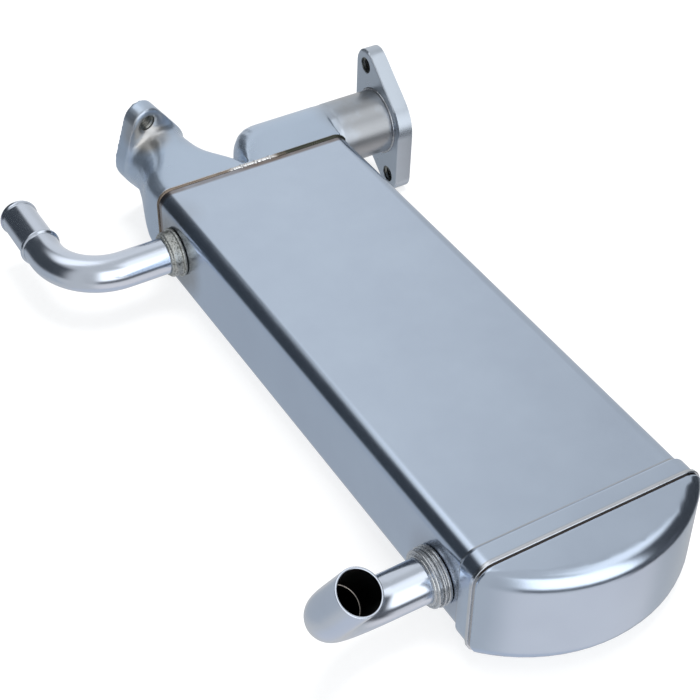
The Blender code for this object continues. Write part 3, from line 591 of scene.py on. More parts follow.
@dataclass
class Case:
    """Rectangular sheet case with its flared near end."""

    flare_corner: float = 7.8 * MM
    lip_edge: float = 0.74 * MM
    flare_step: float = 1.3 * MM
    flare_length: float = 6.8 * MM
    ramp: float = 2.2 * MM
    ramp_loops: int = 5
    corner_segments: int = 12
    long_edge: float = 100.0 * MM
    hole_clearance: float = 0.3 * MM
    hole_steps: int = 48
    cutter_depth: float = 8.0 * MM

    def build(self, finishes: Finishes) -> None:
        """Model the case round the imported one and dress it.

        Args:
            finishes: Every finish of the cooler.
        """
        low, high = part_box("shell")
        middle = (low + high) / 2
        size = high - low - Vector((2 * self.flare_step, 0, 2 * self.flare_step))
        deselect()
        bpy.ops.mesh.primitive_cube_add(size=1, location=middle)
        piece = bpy.context.object
        piece.name = "case_sheet"
        bpy.ops.transform.resize(value=tuple(size))
        settle(piece)
        bpy.ops.object.mode_set(mode="EDIT")
        self.open_ends(piece, low, high)
        self.round_corners(piece)
        self.flare(piece, low.y, middle)
        bpy.ops.object.mode_set(mode="OBJECT")
        apply_modifier(piece, "SOLIDIFY", thickness=CASE_WALL, offset=-1.0, use_even_offset=True)
        self.bore(piece)
        soften_edges(piece, self.lip_edge, angle=60.0, segments=4)
        shade(piece)
        enlist(piece, Slot.CASE, finishes.case, "shell")

    def open_ends(self, piece: Piece, low: Vector, high: Vector) -> None:
        """Delete the two end faces.

        Args:
            piece: The case in edit mode.
            low: Lowest corner of the case's box.
            high: Highest corner of the case's box.
        """
        for y in (low.y, high.y):
            pick(piece, lambda place: abs(place.y - y) < MM)
            bpy.ops.mesh.delete(type="ONLY_FACE")

    def round_corners(self, piece: Piece) -> None:
        """Round the edges that run along the case: no other edge is as long as long_edge.

        Args:
            piece: The case in edit mode.
        """
        bpy.ops.mesh.select_mode(type="EDGE")
        bpy.ops.mesh.select_all(action="DESELECT")
        mesh = bmesh.from_edit_mesh(piece.data)
        for edge in mesh.edges:
            ends = [vertex.co for vertex in edge.verts]
            edge.select = abs(ends[0].y - ends[1].y) > self.long_edge
        bmesh.update_edit_mesh(piece.data)
        bpy.ops.mesh.bevel(offset=CASE_CORNER, segments=self.corner_segments, profile=0.5)

    def flare(self, piece: Piece, near: float, middle: Vector) -> None:
        """Expand the near end over a short, soft ramp.

        Args:
            piece: The case in edit mode.
            near: Where the near end is.
            middle: Middle of the case.
        """
        start = near + self.flare_length
        for step in range(self.ramp_loops + 1):
            y = start + self.ramp * step / self.ramp_loops
            bpy.ops.mesh.select_all(action="SELECT")
            bpy.ops.mesh.bisect(plane_co=(0, y, 0), plane_no=(0, 1, 0))
        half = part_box("shell")[1] - middle - Vector((self.flare_step, 0, self.flare_step))
        mesh = bmesh.from_edit_mesh(piece.data)
        for vertex in mesh.verts:
            share = min(1.0, max(0.0, (start + self.ramp - vertex.co.y) / self.ramp))
            rise = share * share * (3 - 2 * share)
            if rise > 0:
                vertex.co.x = middle.x + self.stretch(vertex.co.x - middle.x, half.x, rise)
                vertex.co.z = middle.z + self.stretch(vertex.co.z - middle.z, half.z, rise)
        bmesh.update_edit_mesh(piece.data)

    def stretch(self, place: float, half: float, rise: float) -> float:
        """Move a place outwards: the flat grows with the case, the corner gets its own radius.

        Args:
            place: Distance from the case's middle.
            half: Half of the plain case's size in that direction.
            rise: How far up the ramp the place is, from 0 to 1.

        Returns:
            The new distance, on the same side.
        """
        flat = half - CASE_CORNER
        corner = CASE_CORNER + (self.flare_corner - CASE_CORNER) * rise
        wide_flat = half + self.flare_step * rise - corner
        size = abs(place)
        if size <= flat:
            moved = size * wide_flat / flat
        else:
            moved = wide_flat + (size - flat) * corner / CASE_CORNER
        return math.copysign(moved, place)

    def bore(self, piece: Piece) -> None:
        """Cut the two holes for the coolant pipes in the left side.

        Args:
            piece: The case with its wall.
        """
        for node in ("coolant_boss_far", "coolant_boss_near"):
            low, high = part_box(node)
            centre = (low + high) / 2
            radius = CoolantPipe.radii()[node] + self.hole_clearance
            deselect()
            bpy.ops.mesh.primitive_cylinder_add(
                vertices=self.hole_steps, radius=radius, depth=self.cutter_depth,
                rotation=ONTO_X, location=(high.x, centre.y, centre.z))
            cutter = settle_new("hole_cutter")
            apply_modifier(piece, "BOOLEAN", operation="DIFFERENCE", object=cutter)
            bpy.data.objects.remove(cutter, do_unlink=True)


@dataclass
class HeaderAndTank:
    """Header plate clamped between the case and the drawn return tank, and the tank itself."""

    plate_edge: float = 0.72 * MM
    tank_edge: float = 0.90 * MM
    groove_corner: float = 7.6 * MM
    groove_bead: float = 0.55 * MM
    groove_ripple: float = 0.03

    def build(self, finishes: Finishes) -> None:
        """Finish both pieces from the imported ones.

        Args:
            finishes: Every finish of the cooler.
        """
        finish_packed("near_header", "header_plate", Slot.CASE, finishes.sheared,
                      edge=self.plate_edge, angle=60.0, segments=4)
        seam = SeamWeld(corner=self.groove_corner, bead=self.groove_bead,
                        ripple=self.groove_ripple, knot=0.0, thick_side=0.0)
        near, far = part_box("near_header")
        for name, y in (("plate_braze", far.y + SEAT_GAP / 2),
                        ("tank_braze", near.y - SEAT_GAP / 2)):
            low, high = (Vector((corner.x, y, corner.z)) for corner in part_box("shell"))
            seam.lay(name, low, high, self.groove_bead, finishes.filler)
        finish_packed("end_cap", "return_tank", Slot.CASE, finishes.case,
                      edge=self.tank_edge, angle=50.0, segments=4)


@dataclass
class Casting:
    """Cast manifold with the soft fillets that a mould leaves."""

    grid: float = 0.62 * MM
    pull: float = 0.5
    skin_passes: int = 5
    fillet_passes: int = 420
    fillet_reach: float = 9.5 * MM
    bore_margin: float = 1.2 * MM
    seat_margin: float = 0.6 * MM
    turned_from: float = 1.5 * MM
    turned_to: float = 2.5 * MM
    turned_reach: float = 0.8 * MM
    # Place on the inlet's axis at its flange's back face, and that axis.
    seat: Triple = (-0.0303, 0.1759, 0.0311)
    facing: Triple = (-0.190, 0.968, 0.163)

    def build(self, finishes: Finishes) -> None:
        """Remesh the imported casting, fill the corner behind its flange and dress it.

        Args:
            finishes: Every finish of the cooler.
        """
        piece = merged_copy("gas_manifold", "cast_manifold")
        apply_modifier(piece, "REMESH", mode="VOXEL", voxel_size=self.grid)
        apply_modifier(piece, "SMOOTH", factor=self.pull, iterations=self.skin_passes)
        self.true_up_stub(piece)
        corner = piece.vertex_groups.new(name="neck_corner")
        for vertex in piece.data.vertices:
            weight = self.corner_weight(vertex.co)
            if weight > 0:
                corner.add([vertex.index], weight, "REPLACE")
        apply_modifier(piece, "SMOOTH", factor=self.pull, iterations=self.fillet_passes,
                       vertex_group=corner.name)
        smooth(piece)
        enlist(piece, Slot.CAST, finishes.cast, "gas_manifold")

    def true_up_stub(self, piece: Piece) -> None:
        """Bring the outlet stub's skin and bore back to true circles, as a lathe leaves them.

        The turned length starts off the case's side and ends short of the stub's end.

        Args:
            piece: The casting.
        """
        low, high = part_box("outlet_flange")
        middle = (low + high) / 2
        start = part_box("shell")[1].x + self.turned_from
        end = high.x - self.turned_to
        for vertex in piece.data.vertices:
            arm = Vector((0, vertex.co.y - middle.y, vertex.co.z - middle.z))
            for radius in (STUB_RADIUS, GAS_BORE_RADIUS):
                if start < vertex.co.x < end and abs(arm.length - radius) < self.turned_reach:
                    true = arm.normalized() * radius
                    vertex.co = Vector((vertex.co.x, middle.y + true.y, middle.z + true.z))

    def corner_weight(self, place: Vector) -> float:
        """Share of the fillet's smoothing that a place gets, by its distance to the corner.

        Args:
            place: Place on the casting's skin.

        Returns:
            The share, from 0 to 1.
        """
        arm = place - Vector(self.seat)
        axis = Vector(self.facing).normalized()
        depth = arm.dot(axis)
        radius = (arm - axis * depth).length
        if radius < GAS_BORE_RADIUS + self.bore_margin or depth > self.seat_margin:
            return 0.0
        return max(0.0, 1 - math.hypot(depth, radius - STUB_RADIUS) / self.fillet_reach)


@dataclass
class BoltThread:
    """Thread in a bolt hole: a sleeve whose inner wall rises and falls with the pitch."""

    name: str
    centre: Vector
    axis: Vector
    outer: float = 4.25 * MM
    root: float = 3.9 * MM
    crest: float = 3.0 * MM
    length: float = 7.4 * MM
    pitch: float = 1.25 * MM
    around: int = 40

    def build(self, finishes: Finishes) -> None:
        """Draw the sleeve ring by ring, in through the hole and back over the outside.

        Args:
            finishes: Every finish of the cooler.
        """
        place = self.centre - self.axis * self.length / 2
        turn = ALONG_Z.rotation_difference(self.axis).to_euler()
        piece = start_tube(self.name, self.around, self.outer, place, turn)
        now = self.outer
        for step, radius in self.profile():
            extrude(self.axis * step)
            place = place + self.axis * step
            bpy.ops.transform.resize(value=(radius / now,) * 3, center_override=place)
            now = radius
        finish_tube()
        shade(piece, angle=30.0)
        enlist(piece, Slot.MACHINED, finishes.thread)

    def profile(self) -> list[tuple[float, float]]:
        """Steps along the axis with the radius after each: lead-in, thread, lead-out, outside.

        Returns:
            Each step's length and the radius at its end.
        """
        turns = int(self.length / self.pitch)
        margin = (self.length - turns * self.pitch) / 2
        steps = [(0.0, self.root), (margin, self.root)]
        for _ in range(turns):
            steps += [(self.pitch / 2, self.crest), (self.pitch / 2, self.root)]
        return steps + [(margin, self.root), (0.0, self.outer), (-self.length, self.outer)]


@dataclass(frozen=True)
class BoltPattern:
    """The two bolt holes of a flange: its middle, face direction, roll in degrees and spacing."""

    name: str
    middle: Vector
    facing: Vector
    roll: float
    spacing: float

    def threads(self) -> list[BoltThread]:
        """Place a thread in each hole, along the flange's rolled long way.

        Returns:
            The upper thread and the lower one.
        """
        upright = (ALONG_Z - self.facing * self.facing.z).normalized()
        roll = math.radians(self.roll)
        long_way = upright * math.cos(roll) + self.facing.cross(upright) * math.sin(roll)
        return [BoltThread(f"{self.name}_thread_{number}",
                           self.middle + long_way * side * self.spacing / 2, self.facing)
                for number, side in enumerate((1, -1), start=1)]


def bolt_threads() -> list[BoltThread]:
    """Threads of both flanges.

    Returns:
        The inlet flange's two threads and the outlet flange's.
    """
    facing = Vector(Casting.facing).normalized()
    middle = Vector(Casting.seat) + facing * FLANGE_THICKNESS / 2
    low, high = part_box("outlet_flange")
    inlet = BoltPattern("inlet", middle, facing, roll=-12.9, spacing=47.3 * MM)
    outlet = BoltPattern("outlet", (low + high) / 2, ALONG_X, roll=-24.1, spacing=56.2 * MM)
    return inlet.threads() + outlet.threads()


def left_middle(node: str) -> Vector:
    """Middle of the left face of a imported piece's box."""
    low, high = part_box(node)
    return Vector((low.x, (low.y + high.y) / 2, (low.z + high.z) / 2))


@dataclass
class OutletFlange:
    """Milled plate on the outlet stub, with its weld."""

    edge: float = 0.35 * MM
    bead: float = 0.85 * MM
    bead_lift: float = 0.2
    bead_steps: int = 96

    def build(self, finishes: Finishes) -> None:
        """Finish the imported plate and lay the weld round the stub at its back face.

        Args:
            finishes: Every finish of the cooler.
        """
        finish_packed("outlet_flange", "outlet_plate", Slot.MACHINED, finishes.machined,
                      edge=self.edge, angle=50.0)
        weld = weld_ring("outlet_weld", left_middle("outlet_flange"),
                         STUB_RADIUS + self.bead * self.bead_lift, self.bead, self.bead_steps)
        enlist(weld, Slot.MACHINED, finishes.stub)


def weld_ring(name: str, centre: Vector, radius: float, bead: float, around: int) -> Piece:
    """Lay a weld bead round an axis along X, with every third step a little fuller.

    Args:
        name: Name of the piece.
        centre: Middle of the ring.
        radius: From the axis to the bead's middle.
        bead: Radius of the bead itself.
        around: How many steps the ring has.

    Returns:
        The ring.
    """
    ripple_height, ripple_steps = 0.10, 3
    ring = add_ring(name, centre, radius, bead, around, ONTO_X)
    for vertex in ring.data.vertices:
        arm = vertex.co - centre
        across = Vector((0, arm.y, arm.z))
        middle = centre + across.normalized() * radius
        turn = math.atan2(arm.z, arm.y) * around / (2 * math.pi)
        ripple = 1 + ripple_height * math.cos(turn * 2 * math.pi / ripple_steps)
        vertex.co = middle + (vertex.co - middle) * ripple
    smooth(ring)
    return ring


@dataclass
class CoolantPipe:
    """Bent tube: a straight run out of the case, one bend and a leg."""

    name: str
    node: str
    port: Vector
    turn: Vector
    radius: float
    run: float
    bend: float
    angle: float
    leg: float
    wall: float = 0.9 * MM
    insertion: float = 2.0 * MM
    edge: float = 0.2 * MM
    around: int = 48
    bend_step: float = 4.0
    bead_steps: int = 10
    joint_ring: float = 0.0
    joint_steps: int = 96
    beads: tuple[Triple, ...] = ()

    @staticmethod
    def radii() -> dict[str, float]:
        """Outer radius of the pipe in each boss."""
        return {"coolant_boss_far": 8.5 * MM, "coolant_boss_near": 9.05 * MM}

    def build(self, finishes: Finishes) -> None:
        """Draw the tube ring by ring, give it a wall and dress it.

        Args:
            finishes: Every finish of the cooler.
        """
        inside = CASE_WALL + self.insertion
        start = self.port + ALONG_X * inside
        piece = start_tube(self.name, self.around, self.radius, start, ONTO_X)
        extrude(-ALONG_X * (self.run + inside))
        corner = self.port - ALONG_X * self.run
        bpy.ops.mesh.spin(
            steps=math.ceil(math.degrees(self.angle) / self.bend_step), angle=self.angle,
            center=corner + self.turn * self.bend, axis=ALONG_X.cross(self.turn))
        self.draw_leg()
        finish_tube()
        piece.data.materials.append(finishes.tube)
        piece.data.materials.append(finishes.bore)
        apply_modifier(piece, "SOLIDIFY", thickness=self.wall, offset=-1.0, use_even_offset=True,
                       material_offset=1)
        soften_edges(piece, self.edge, angle=60.0)
        shade(piece, angle=50.0)
        enlist(piece, Slot.PIPE, None, self.node)
        if self.joint_ring > 0:
            self.lay_joint_ring(finishes)

    def heading(self) -> Vector:
        """Direction of the leg after the bend."""
        way = -ALONG_X * math.cos(self.angle) + self.turn * math.sin(self.angle)
        return way.normalized()

    def bend_end(self) -> Vector:
        """Place on the pipe's axis where the bend ends.

        Returns:
            The place.
        """
        out = -ALONG_X * math.sin(self.angle)
        aside = self.turn * (1 - math.cos(self.angle))
        return self.port - ALONG_X * self.run + self.bend * (out + aside)

    def lay_joint_ring(self, finishes: Finishes) -> None:
        """Lay the thin root bead inside the tube, where the bend meets the leg.

        Args:
            finishes: Every finish of the cooler.
        """
        turn = ALONG_Z.rotation_difference(self.heading()).to_euler()
        ring = add_ring(self.name + "_root_bead", self.bend_end(), self.radius - self.wall,
                        self.joint_ring, self.joint_steps, turn)
        smooth(ring)
        enlist(ring, Slot.PIPE, finishes.fused)

    def draw_leg(self) -> None:
        """Draw the straight leg, swelling over each bead."""
        heading = self.heading()
        place = self.bend_end()
        done = 0.0
        swollen = 1.0
        for start, length, height in self.beads:
            extrude(heading * (start - done))
            place = place + heading * (start - done)
            for step in range(1, self.bead_steps + 1):
                extrude(heading * length / self.bead_steps)
                place = place + heading * length / self.bead_steps
                rise = height * math.sin(math.pi * step / self.bead_steps)
                wanted = 1 + rise / self.radius
                bpy.ops.transform.resize(value=(wanted / swollen,) * 3, center_override=place)
                swollen = wanted
            done = start + length
        if self.leg - done > MERGE:
            extrude(heading * (self.leg - done))


def coolant_pipes() -> tuple[CoolantPipe, CoolantPipe]:
    """Both pipes at their places in the case's left side.

    Returns:
        The far pipe, with its shoulder bead and tip bead, and the plain near elbow.
    """
    radii = CoolantPipe.radii()
    bead, leg, hose = 3.4 * MM, 34.8 * MM, 25.8 * MM
    shoulder_height, tip_height = 1.1 * MM, 0.6 * MM
    far = CoolantPipe(
        "far_hose_pipe", "coolant_pipe_far", boss_seat("coolant_boss_far"), turn=ALONG_Y.copy(),
        radius=radii["coolant_boss_far"], run=26.1 * MM, bend=27.0 * MM, angle=math.pi / 2, leg=leg,
        beads=((leg - hose - bead, bead, shoulder_height), (leg - bead, bead, tip_height)))
    lean = math.radians(29.8)
    near = CoolantPipe(
        "near_elbow_pipe", "coolant_pipe_near", boss_seat("coolant_boss_near"),
        turn=Vector((0, -math.sin(lean), math.cos(lean))), radius=radii["coolant_boss_near"],
        run=21.7 * MM, bend=32.2 * MM, angle=math.radians(100), leg=17.7 * MM,
        joint_ring=0.32 * MM)
    return far, near


def boss_seat(node: str) -> Vector:
    """Middle of a boss's seat on the case's left face.

    Args:
        node: The boss's CAD node.

    Returns:
        The place.
    """
    place = left_middle(node)
    place.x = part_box(node)[1].x + SEAT_GAP
    return place


@dataclass
class Boss:
    """Brazed ring that carries a coolant pipe on the case."""

    name: str
    node: str
    pipe_radius: float
    turned_rings: bool
    edge: float = 0.35 * MM
    turned_grain: float = 0.06 * MM
    brazed_grain: float = 0.28 * MM
    grain_size: float = 1.6 * MM
    fillet: float = 0.8 * MM
    fillet_lift: float = 0.5 * MM
    fillet_grain: float = 0.3 * MM
    ring_steps: int = 90
    # Depth from the outer face, rise over the ring's radius and bead of each land, in mm.
    lands: tuple[Triple, ...] = (
        (0.1, -2.2, 0.40), (0.7, -0.4, 0.70), (3.0, 0.05, 0.45), (4.9, 0.05, 0.60))

    def build(self, finishes: Finishes) -> None:
        """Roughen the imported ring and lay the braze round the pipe.

        Args:
            finishes: Every finish of the cooler.
        """
        finish = finishes.turned if self.turned_rings else finishes.braze
        depth = self.turned_grain if self.turned_rings else self.brazed_grain
        piece = merged_copy(self.node, self.name)
        soften_edges(piece, self.edge, angle=30.0)
        select_only(piece)
        edit_all()
        bpy.ops.mesh.subdivide(number_cuts=2)
        bpy.ops.object.mode_set(mode="OBJECT")
        self.roughen(piece, depth)
        shade(piece, angle=60.0)
        enlist(piece, Slot.BOSS, finish, self.node)
        collar = weld_ring(self.name + "_braze", left_middle(self.node),
                           self.pipe_radius + self.fillet_lift, self.fillet, self.ring_steps)
        self.roughen(collar, self.fillet_grain)
        enlist(collar, Slot.BOSS, finish)
        if self.turned_rings:
            self.lay_rings(finishes)

    def lay_rings(self, finishes: Finishes) -> None:
        """Lay the raised lands that the tool left between its grooves.

        Args:
            finishes: Every finish of the cooler.
        """
        low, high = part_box(self.node)
        radius = (high.z - low.z) / 2
        for number, (depth, rise, bead) in enumerate(self.lands, start=1):
            land = weld_ring(f"{self.name}_land_{number}",
                             left_middle(self.node) + ALONG_X * depth * MM,
                             radius + (rise - bead) * MM, bead * MM, self.ring_steps)
            enlist(land, Slot.BOSS, finishes.turned)

    def roughen(self, piece: Piece, depth: float) -> None:
        """Push the skin in and out by a fine cloud pattern.

        Args:
            piece: The piece.
            depth: How far the skin moves between its ends.
        """
        texture = bpy.data.textures.new(piece.name + "_grain", "CLOUDS")
        texture.noise_scale = self.grain_size
        apply_modifier(piece, "DISPLACE", texture=texture, texture_coords="GLOBAL",
                       strength=depth, mid_level=0.5)


@dataclass
class SeamWeld:
    """Bead round the case's far end: thin at the top's left, knotty in its middle, then thick."""

    corner: float = CASE_CORNER
    bead: float = 0.80 * MM
    edge_bead: float = 0.42 * MM
    edge_step: float = 0.95 * MM
    pitch: float = 0.35 * MM
    ripple: float = 0.10
    knot: float = 0.75
    thick_side: float = 0.45
    knots_mm: tuple[float, float] = (-12.0, 11.0)
    top: float = 40.0 * MM
    # Inset of the bead's middle and its plain fullness, both as shares of its radius.
    inset: float = 0.75
    fullness: float = 0.92
    # Turn of the ripple from step to step, and of the two knot waves for each mm, in radians.
    ripple_turn: float = 1.9
    knot_turns: tuple[float, float] = (1.7, 0.83)
    round_steps: int = 10

    def build(self, finishes: Finishes) -> None:
        """Lay the bead in the seam and the fused edge beside it.

        Args:
            finishes: Every finish of the cooler.
        """
        low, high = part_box("seam_weld")
        self.lay("seam_bead", low, high, self.bead, finishes.weld, "seam_weld")
        step = ALONG_Y * self.edge_step
        self.lay("fused_edge", low + step, high + step, self.edge_bead, finishes.fused)

    def lay(self, name: str, low: Vector, high: Vector, bead: float, material: Material,
            *nodes: str) -> None:
        """Lay one bead along the case's outline.

        Args:
            name: Name of the piece.
            low: Lowest corner of the outline's box.
            high: Highest corner of the outline's box.
            bead: Radius of the bead.
            material: Its finish.
            nodes: CAD nodes that it replaces.
        """
        route = self.route(low, high)
        deselect()
        bpy.ops.mesh.primitive_circle_add(
            vertices=self.round_steps, radius=bead, fill_type="NOTHING")
        ring = bpy.context.object
        shape = [vertex.co.copy() for vertex in ring.data.vertices]
        bpy.data.objects.remove(ring, do_unlink=True)
        mesh = bmesh.new()
        loops = []
        for index, (place, outwards) in enumerate(route):
            swell = self.swell(place, index)
            loops.append([
                mesh.verts.new(place + (outwards * point.x + ALONG_Y * point.y) * swell)
                for point in shape])
        for first, second in zip(loops, loops[1:] + loops[:1]):
            for index in range(self.round_steps):
                after = (index + 1) % self.round_steps
                mesh.faces.new((first[index], first[after], second[after], second[index]))
        bmesh.ops.recalc_face_normals(mesh, faces=mesh.faces)
        data = bpy.data.meshes.new(name)
        mesh.to_mesh(data)
        mesh.free()
        piece = add_object(name, data)
        smooth(piece)
        enlist(piece, Slot.WELD, material, *nodes)

    def route(self, low: Vector, high: Vector) -> list[tuple[Vector, Vector]]:
        """Places along the outline at an even pitch, each with its outward direction.

        Args:
            low: Lowest corner of the outline's box.
            high: Highest corner of the outline's box.

        Returns:
            Each place with the direction away from the case.
        """
        inset = self.bead * self.inset
        half_x = (high.x - low.x) / 2 - inset - self.corner
        half_z = (high.z - low.z) / 2 - inset - self.corner
        centre = (low + high) / 2
        turns = round(self.corner * math.pi / 2 / self.pitch)
        route = []
        sides = ((half_z, 0.0, (1, 1)), (half_x, 90.0, (-1, 1)),
                 (half_z, 180.0, (-1, -1)), (half_x, 270.0, (1, -1)))
        for half, start, (side_x, side_z) in sides:
            outwards = Vector((math.cos(math.radians(start)), 0, math.sin(math.radians(start))))
            along = Vector((-outwards.z, 0, outwards.x))
            pivot = Vector((side_x * half_x, 0, side_z * half_z))
            previous = pivot - along * 2 * half
            count = round(2 * half / self.pitch)
            for step in range(count):
                place = previous + along * (2 * half * step / count) + outwards * self.corner
                route.append((centre + place, outwards))
            for step in range(turns):
                angle = math.radians(start + 90 * step / turns)
                outwards = Vector((math.cos(angle), 0, math.sin(angle)))
                route.append((centre + pivot + outwards * self.corner, outwards))
        return route

    def swell(self, place: Vector, index: int) -> float:
        """Fullness of the bead: a ripple all round, and knots and a thick side along the top.

        Args:
            place: Place on the route.
            index: Its number along the route.

        Returns:
            The bead's thickness there, as a share of its radius.
        """
        fullness = self.fullness + self.ripple * math.sin(index * self.ripple_turn)
        along = place.x / MM
        first, last = self.knots_mm
        if place.z > self.top and first < along < last:
            coarse, fine = self.knot_turns
            wave = math.sin(along * coarse) * math.sin(along * fine + 1)
            fullness += self.knot * max(0.0, wave)
        elif place.z > self.top and along >= last:
            fullness += self.thick_side
        return fullness


def dress_core(finishes: Finishes) -> None:
    """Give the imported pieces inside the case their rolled-strip finish.

    Args:
        finishes: Every finish of the cooler.
    """
    for name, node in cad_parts.items():
        if name.startswith(("gas_tube", "fin_strip", "support_plate", "far_header")):
            node.data.materials.clear()
            node.data.materials.append(finishes.core)


@dataclass(frozen=True)
class Patch:
    """Soft-edged part of the studio that the metal mirrors.

    The angles are in degrees, and the azimuth runs from +Y to +X.
    """

    azimuth: float
    elevation: float
    half_width: float
    half_height: float
    level: float
    edge: float = 9.0
    tint: str = "#FFFFFF"


@dataclass(frozen=True)
class SoftBox:
    """Area lamp that faces the part: place and size in metres, power in watts."""

    name: str
    place: Triple
    size: tuple[float, float]
    power: float


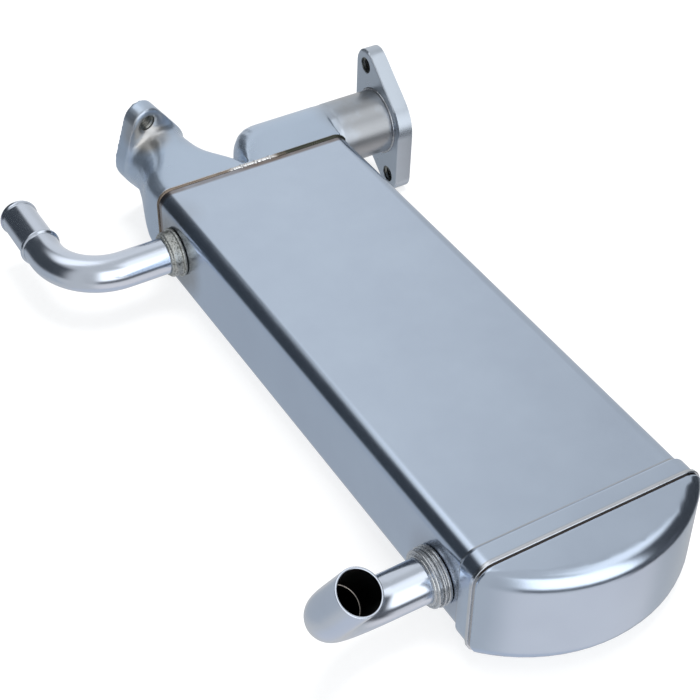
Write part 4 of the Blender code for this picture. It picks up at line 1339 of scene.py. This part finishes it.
@dataclass
class Studio:
    """Pale floor, soft boxes, the surroundings that the metal mirrors, and the camera."""

    floor_size: float = 7.0
    floor_gap: float = 0.2 * MM
    floor_colour: str = "#E6E6E6"
    floor_glow: float = 1.45
    soft_light: tuple[float, float, float, float] = (0.93, 0.97, 1.0, 1.0)
    soft_level: float = 0.55
    soft_boxes: tuple[SoftBox, ...] = (
        SoftBox("overhead_box", (0.15, 0.05, 1.25), (0.55, 0.55), 9.0),
        SoftBox("front_box", (-0.55, -1.2, 0.75), (0.9, 0.5), 6.0))
    camera_place: Triple = (-0.28146, -0.42626, 0.47840)
    camera_forward: Triple = (0.38630, 0.64109, -0.66316)
    camera_right: Triple = (0.86048, -0.50941, 0.00880)
    lens_mm: float = 82.588
    sensor_mm: float = 36.0
    clip_start: float = 0.01
    wall_level: float = 0.56
    shadow_fade: float = 0.5
    patches: tuple[Patch, ...] = (
        Patch(23, 20, 16, 52, 0.75, 10.0),
        Patch(165, -54, 54, 24, 0.80, 12.0, "#FFF9F7"),
        Patch(0, -84, 200, 17, 0.64, 10.0, "#F1F5FF"),
        Patch(-150, 10, 20, 30, 0.50),
        Patch(-42, -30, 48, 20, 0.50, tint="#F2F8FF"),
        Patch(-50, 19, 56, 32, 0.045, tint="#D8EAFF"),
        Patch(-25, 66, 42, 13, 1.30),
        Patch(112, 0, 34, 40, 0.05, tint="#ECF3FF"),
        Patch(126, 58, 38, 13, 1.25),
        Patch(163, -19, 48, 9, 0.10, 4.0, "#F2F4FF"),
        Patch(177, 20, 31, 28, 1.80))

    def build(self) -> None:
        """Set the stage and aim the camera."""
        self.build_floor()
        self.build_world()
        self.build_lamps()
        self.aim_camera()
        bpy.context.scene.view_settings.view_transform = "Standard"

    def build_floor(self) -> None:
        """Plain pale floor just under the part, which keeps the part's shadow."""
        deselect()
        bpy.ops.mesh.primitive_plane_add(
            size=self.floor_size, location=(0, 0, CAD_BOUNDS[0][2] - self.floor_gap))
        floor = bpy.context.object
        floor.name = "floor"
        material = bpy.data.materials.new("pale_floor")
        material.use_nodes = True
        tree = material.node_tree
        shader = tree.nodes["Principled BSDF"]
        shader.inputs["Base Color"].default_value = linear(self.floor_colour)
        shader.inputs["Roughness"].default_value = 0.9
        shader.inputs["Specular IOR Level"].default_value = 0.0
        path = add_node(tree, "LightPath")
        lift = add_math(tree, "MULTIPLY", path.outputs["Is Camera Ray"], self.shadow_fade)
        glow = add_node(tree, "Emission", {"Strength": self.floor_glow})
        seen = add_node(tree, "MixShader", links={
            0: lift, 1: shader.outputs["BSDF"], 2: glow.outputs["Emission"]})
        # Mirrored rays pass, so that the metal shows the studio's patches from below as well.
        clear = add_node(tree, "BsdfTransparent")
        mix = add_node(tree, "MixShader", links={
            0: path.outputs["Is Glossy Ray"], 1: seen.outputs["Shader"], 2: clear.outputs["BSDF"]})
        tree.links.new(mix.outputs["Shader"], tree.nodes["Material Output"].inputs["Surface"])
        floor.data.materials.append(material)

    def build_world(self) -> None:
        """White for the camera, even for the floor, and the patches for all that mirrors it."""
        world = bpy.data.worlds.new("studio")
        bpy.context.scene.world = world
        world.use_nodes = True
        world.cycles.sampling_method = "NONE"
        tree = world.node_tree
        tree.nodes.clear()
        direction = add_node(tree, "TexCoord").outputs["Generated"]
        axes = add_node(tree, "SeparateXYZ", links={0: direction}).outputs
        azimuth = add_math(tree, "ARCTAN2", axes["X"], axes["Y"])
        elevation = add_math(tree, "ARCSINE", axes["Z"])
        colour = add_node(tree, "RGB").outputs["Color"]
        colour.default_value = (self.wall_level, self.wall_level, self.wall_level, 1.0)
        for patch in self.patches:
            colour = self.add_patch(tree, azimuth, elevation, colour, patch)
        mirrored = add_node(tree, "Background", {"Strength": 1.0}, {"Color": colour})
        plain = add_node(tree, "Background", {"Color": (1, 1, 1, 1), "Strength": 1.0})
        soft = add_node(tree, "Background",
                        {"Color": self.soft_light, "Strength": self.soft_level})
        path = add_node(tree, "LightPath")
        glossy = add_node(tree, "MixShader", links={
            0: path.outputs["Is Glossy Ray"], 1: soft.outputs[0], 2: mirrored.outputs[0]})
        seen = add_node(tree, "MixShader", links={
            0: path.outputs["Is Camera Ray"], 1: glossy.outputs[0], 2: plain.outputs[0]})
        add_node(tree, "OutputWorld", links={"Surface": seen.outputs[0]})

    def add_patch(self, tree: Tree, azimuth: Socket, elevation: Socket, colour: Socket,
                  patch: Patch) -> Socket:
        """Lay one patch over the colour so far.

        Args:
            tree: The world's node tree.
            azimuth: Direction round the horizon, in radians.
            elevation: Direction above the horizon, in radians.
            colour: Colour under the patch.
            patch: Where it is and how bright.

        Returns:
            The colour with the patch.
        """
        turned = add_math(tree, "SUBTRACT", azimuth, math.radians(patch.azimuth))
        wrapped = add_math(tree, "WRAP", turned, math.pi, -math.pi)
        raised = add_math(tree, "SUBTRACT", elevation, math.radians(patch.elevation))
        sides = []
        for offset, half in ((wrapped, patch.half_width), (raised, patch.half_height)):
            edges = math.radians(half - patch.edge), math.radians(half + patch.edge)
            distance = add_math(tree, "ABSOLUTE", offset)
            sides.append(add_range(tree, distance, edges, (1.0, 0.0), "SMOOTHSTEP"))
        share = add_math(tree, "MULTIPLY", *sides)
        bright = [channel * patch.level for channel in linear(patch.tint)[:3]] + [1.0]
        return add_layer(tree, share, colour, bright)

    def build_lamps(self) -> None:
        """Soft boxes that light the floor; the metal shows the patches instead."""
        for box in self.soft_boxes:
            lamp = bpy.data.lights.new(box.name, "AREA")
            lamp.shape = "RECTANGLE"
            lamp.size, lamp.size_y = box.size
            lamp.energy = box.power
            holder = add_object(box.name, lamp)
            holder.location = box.place
            holder.rotation_euler = (-Vector(box.place)).to_track_quat("-Z", "Y").to_euler()
            holder.visible_glossy = False

    def aim_camera(self) -> None:
        """Put the camera where the photograph was taken from."""
        camera = bpy.data.cameras.new("camera")
        camera.lens = self.lens_mm
        camera.sensor_width = self.sensor_mm
        camera.clip_start = self.clip_start
        holder = add_object("camera", camera)
        forward = Vector(self.camera_forward).normalized()
        right = Vector(self.camera_right)
        right = (right - forward * right.dot(forward)).normalized()
        turn = Matrix((right, (-forward).cross(right), -forward)).transposed()
        holder.matrix_world = Matrix.Translation(self.camera_place) @ turn.to_4x4()
        bpy.context.scene.camera = holder


def main() -> None:
    """Build and dress the cooler."""
    Studio().build()
    finishes = Finishes()
    Case().build(finishes)
    HeaderAndTank().build(finishes)
    Casting().build(finishes)
    OutletFlange().build(finishes)
    for thread in bolt_threads():
        thread.build(finishes)
    for pipe in coolant_pipes():
        pipe.build(finishes)
    radii = CoolantPipe.radii()
    for name, node, turned in (("far_boss", "coolant_boss_far", False),
                               ("near_boss", "coolant_boss_near", True)):
        Boss(name, node, radii[node], turned).build(finishes)
    SeamWeld().build(finishes)
    dress_core(finishes)


if __name__ == "__main__":
    main()
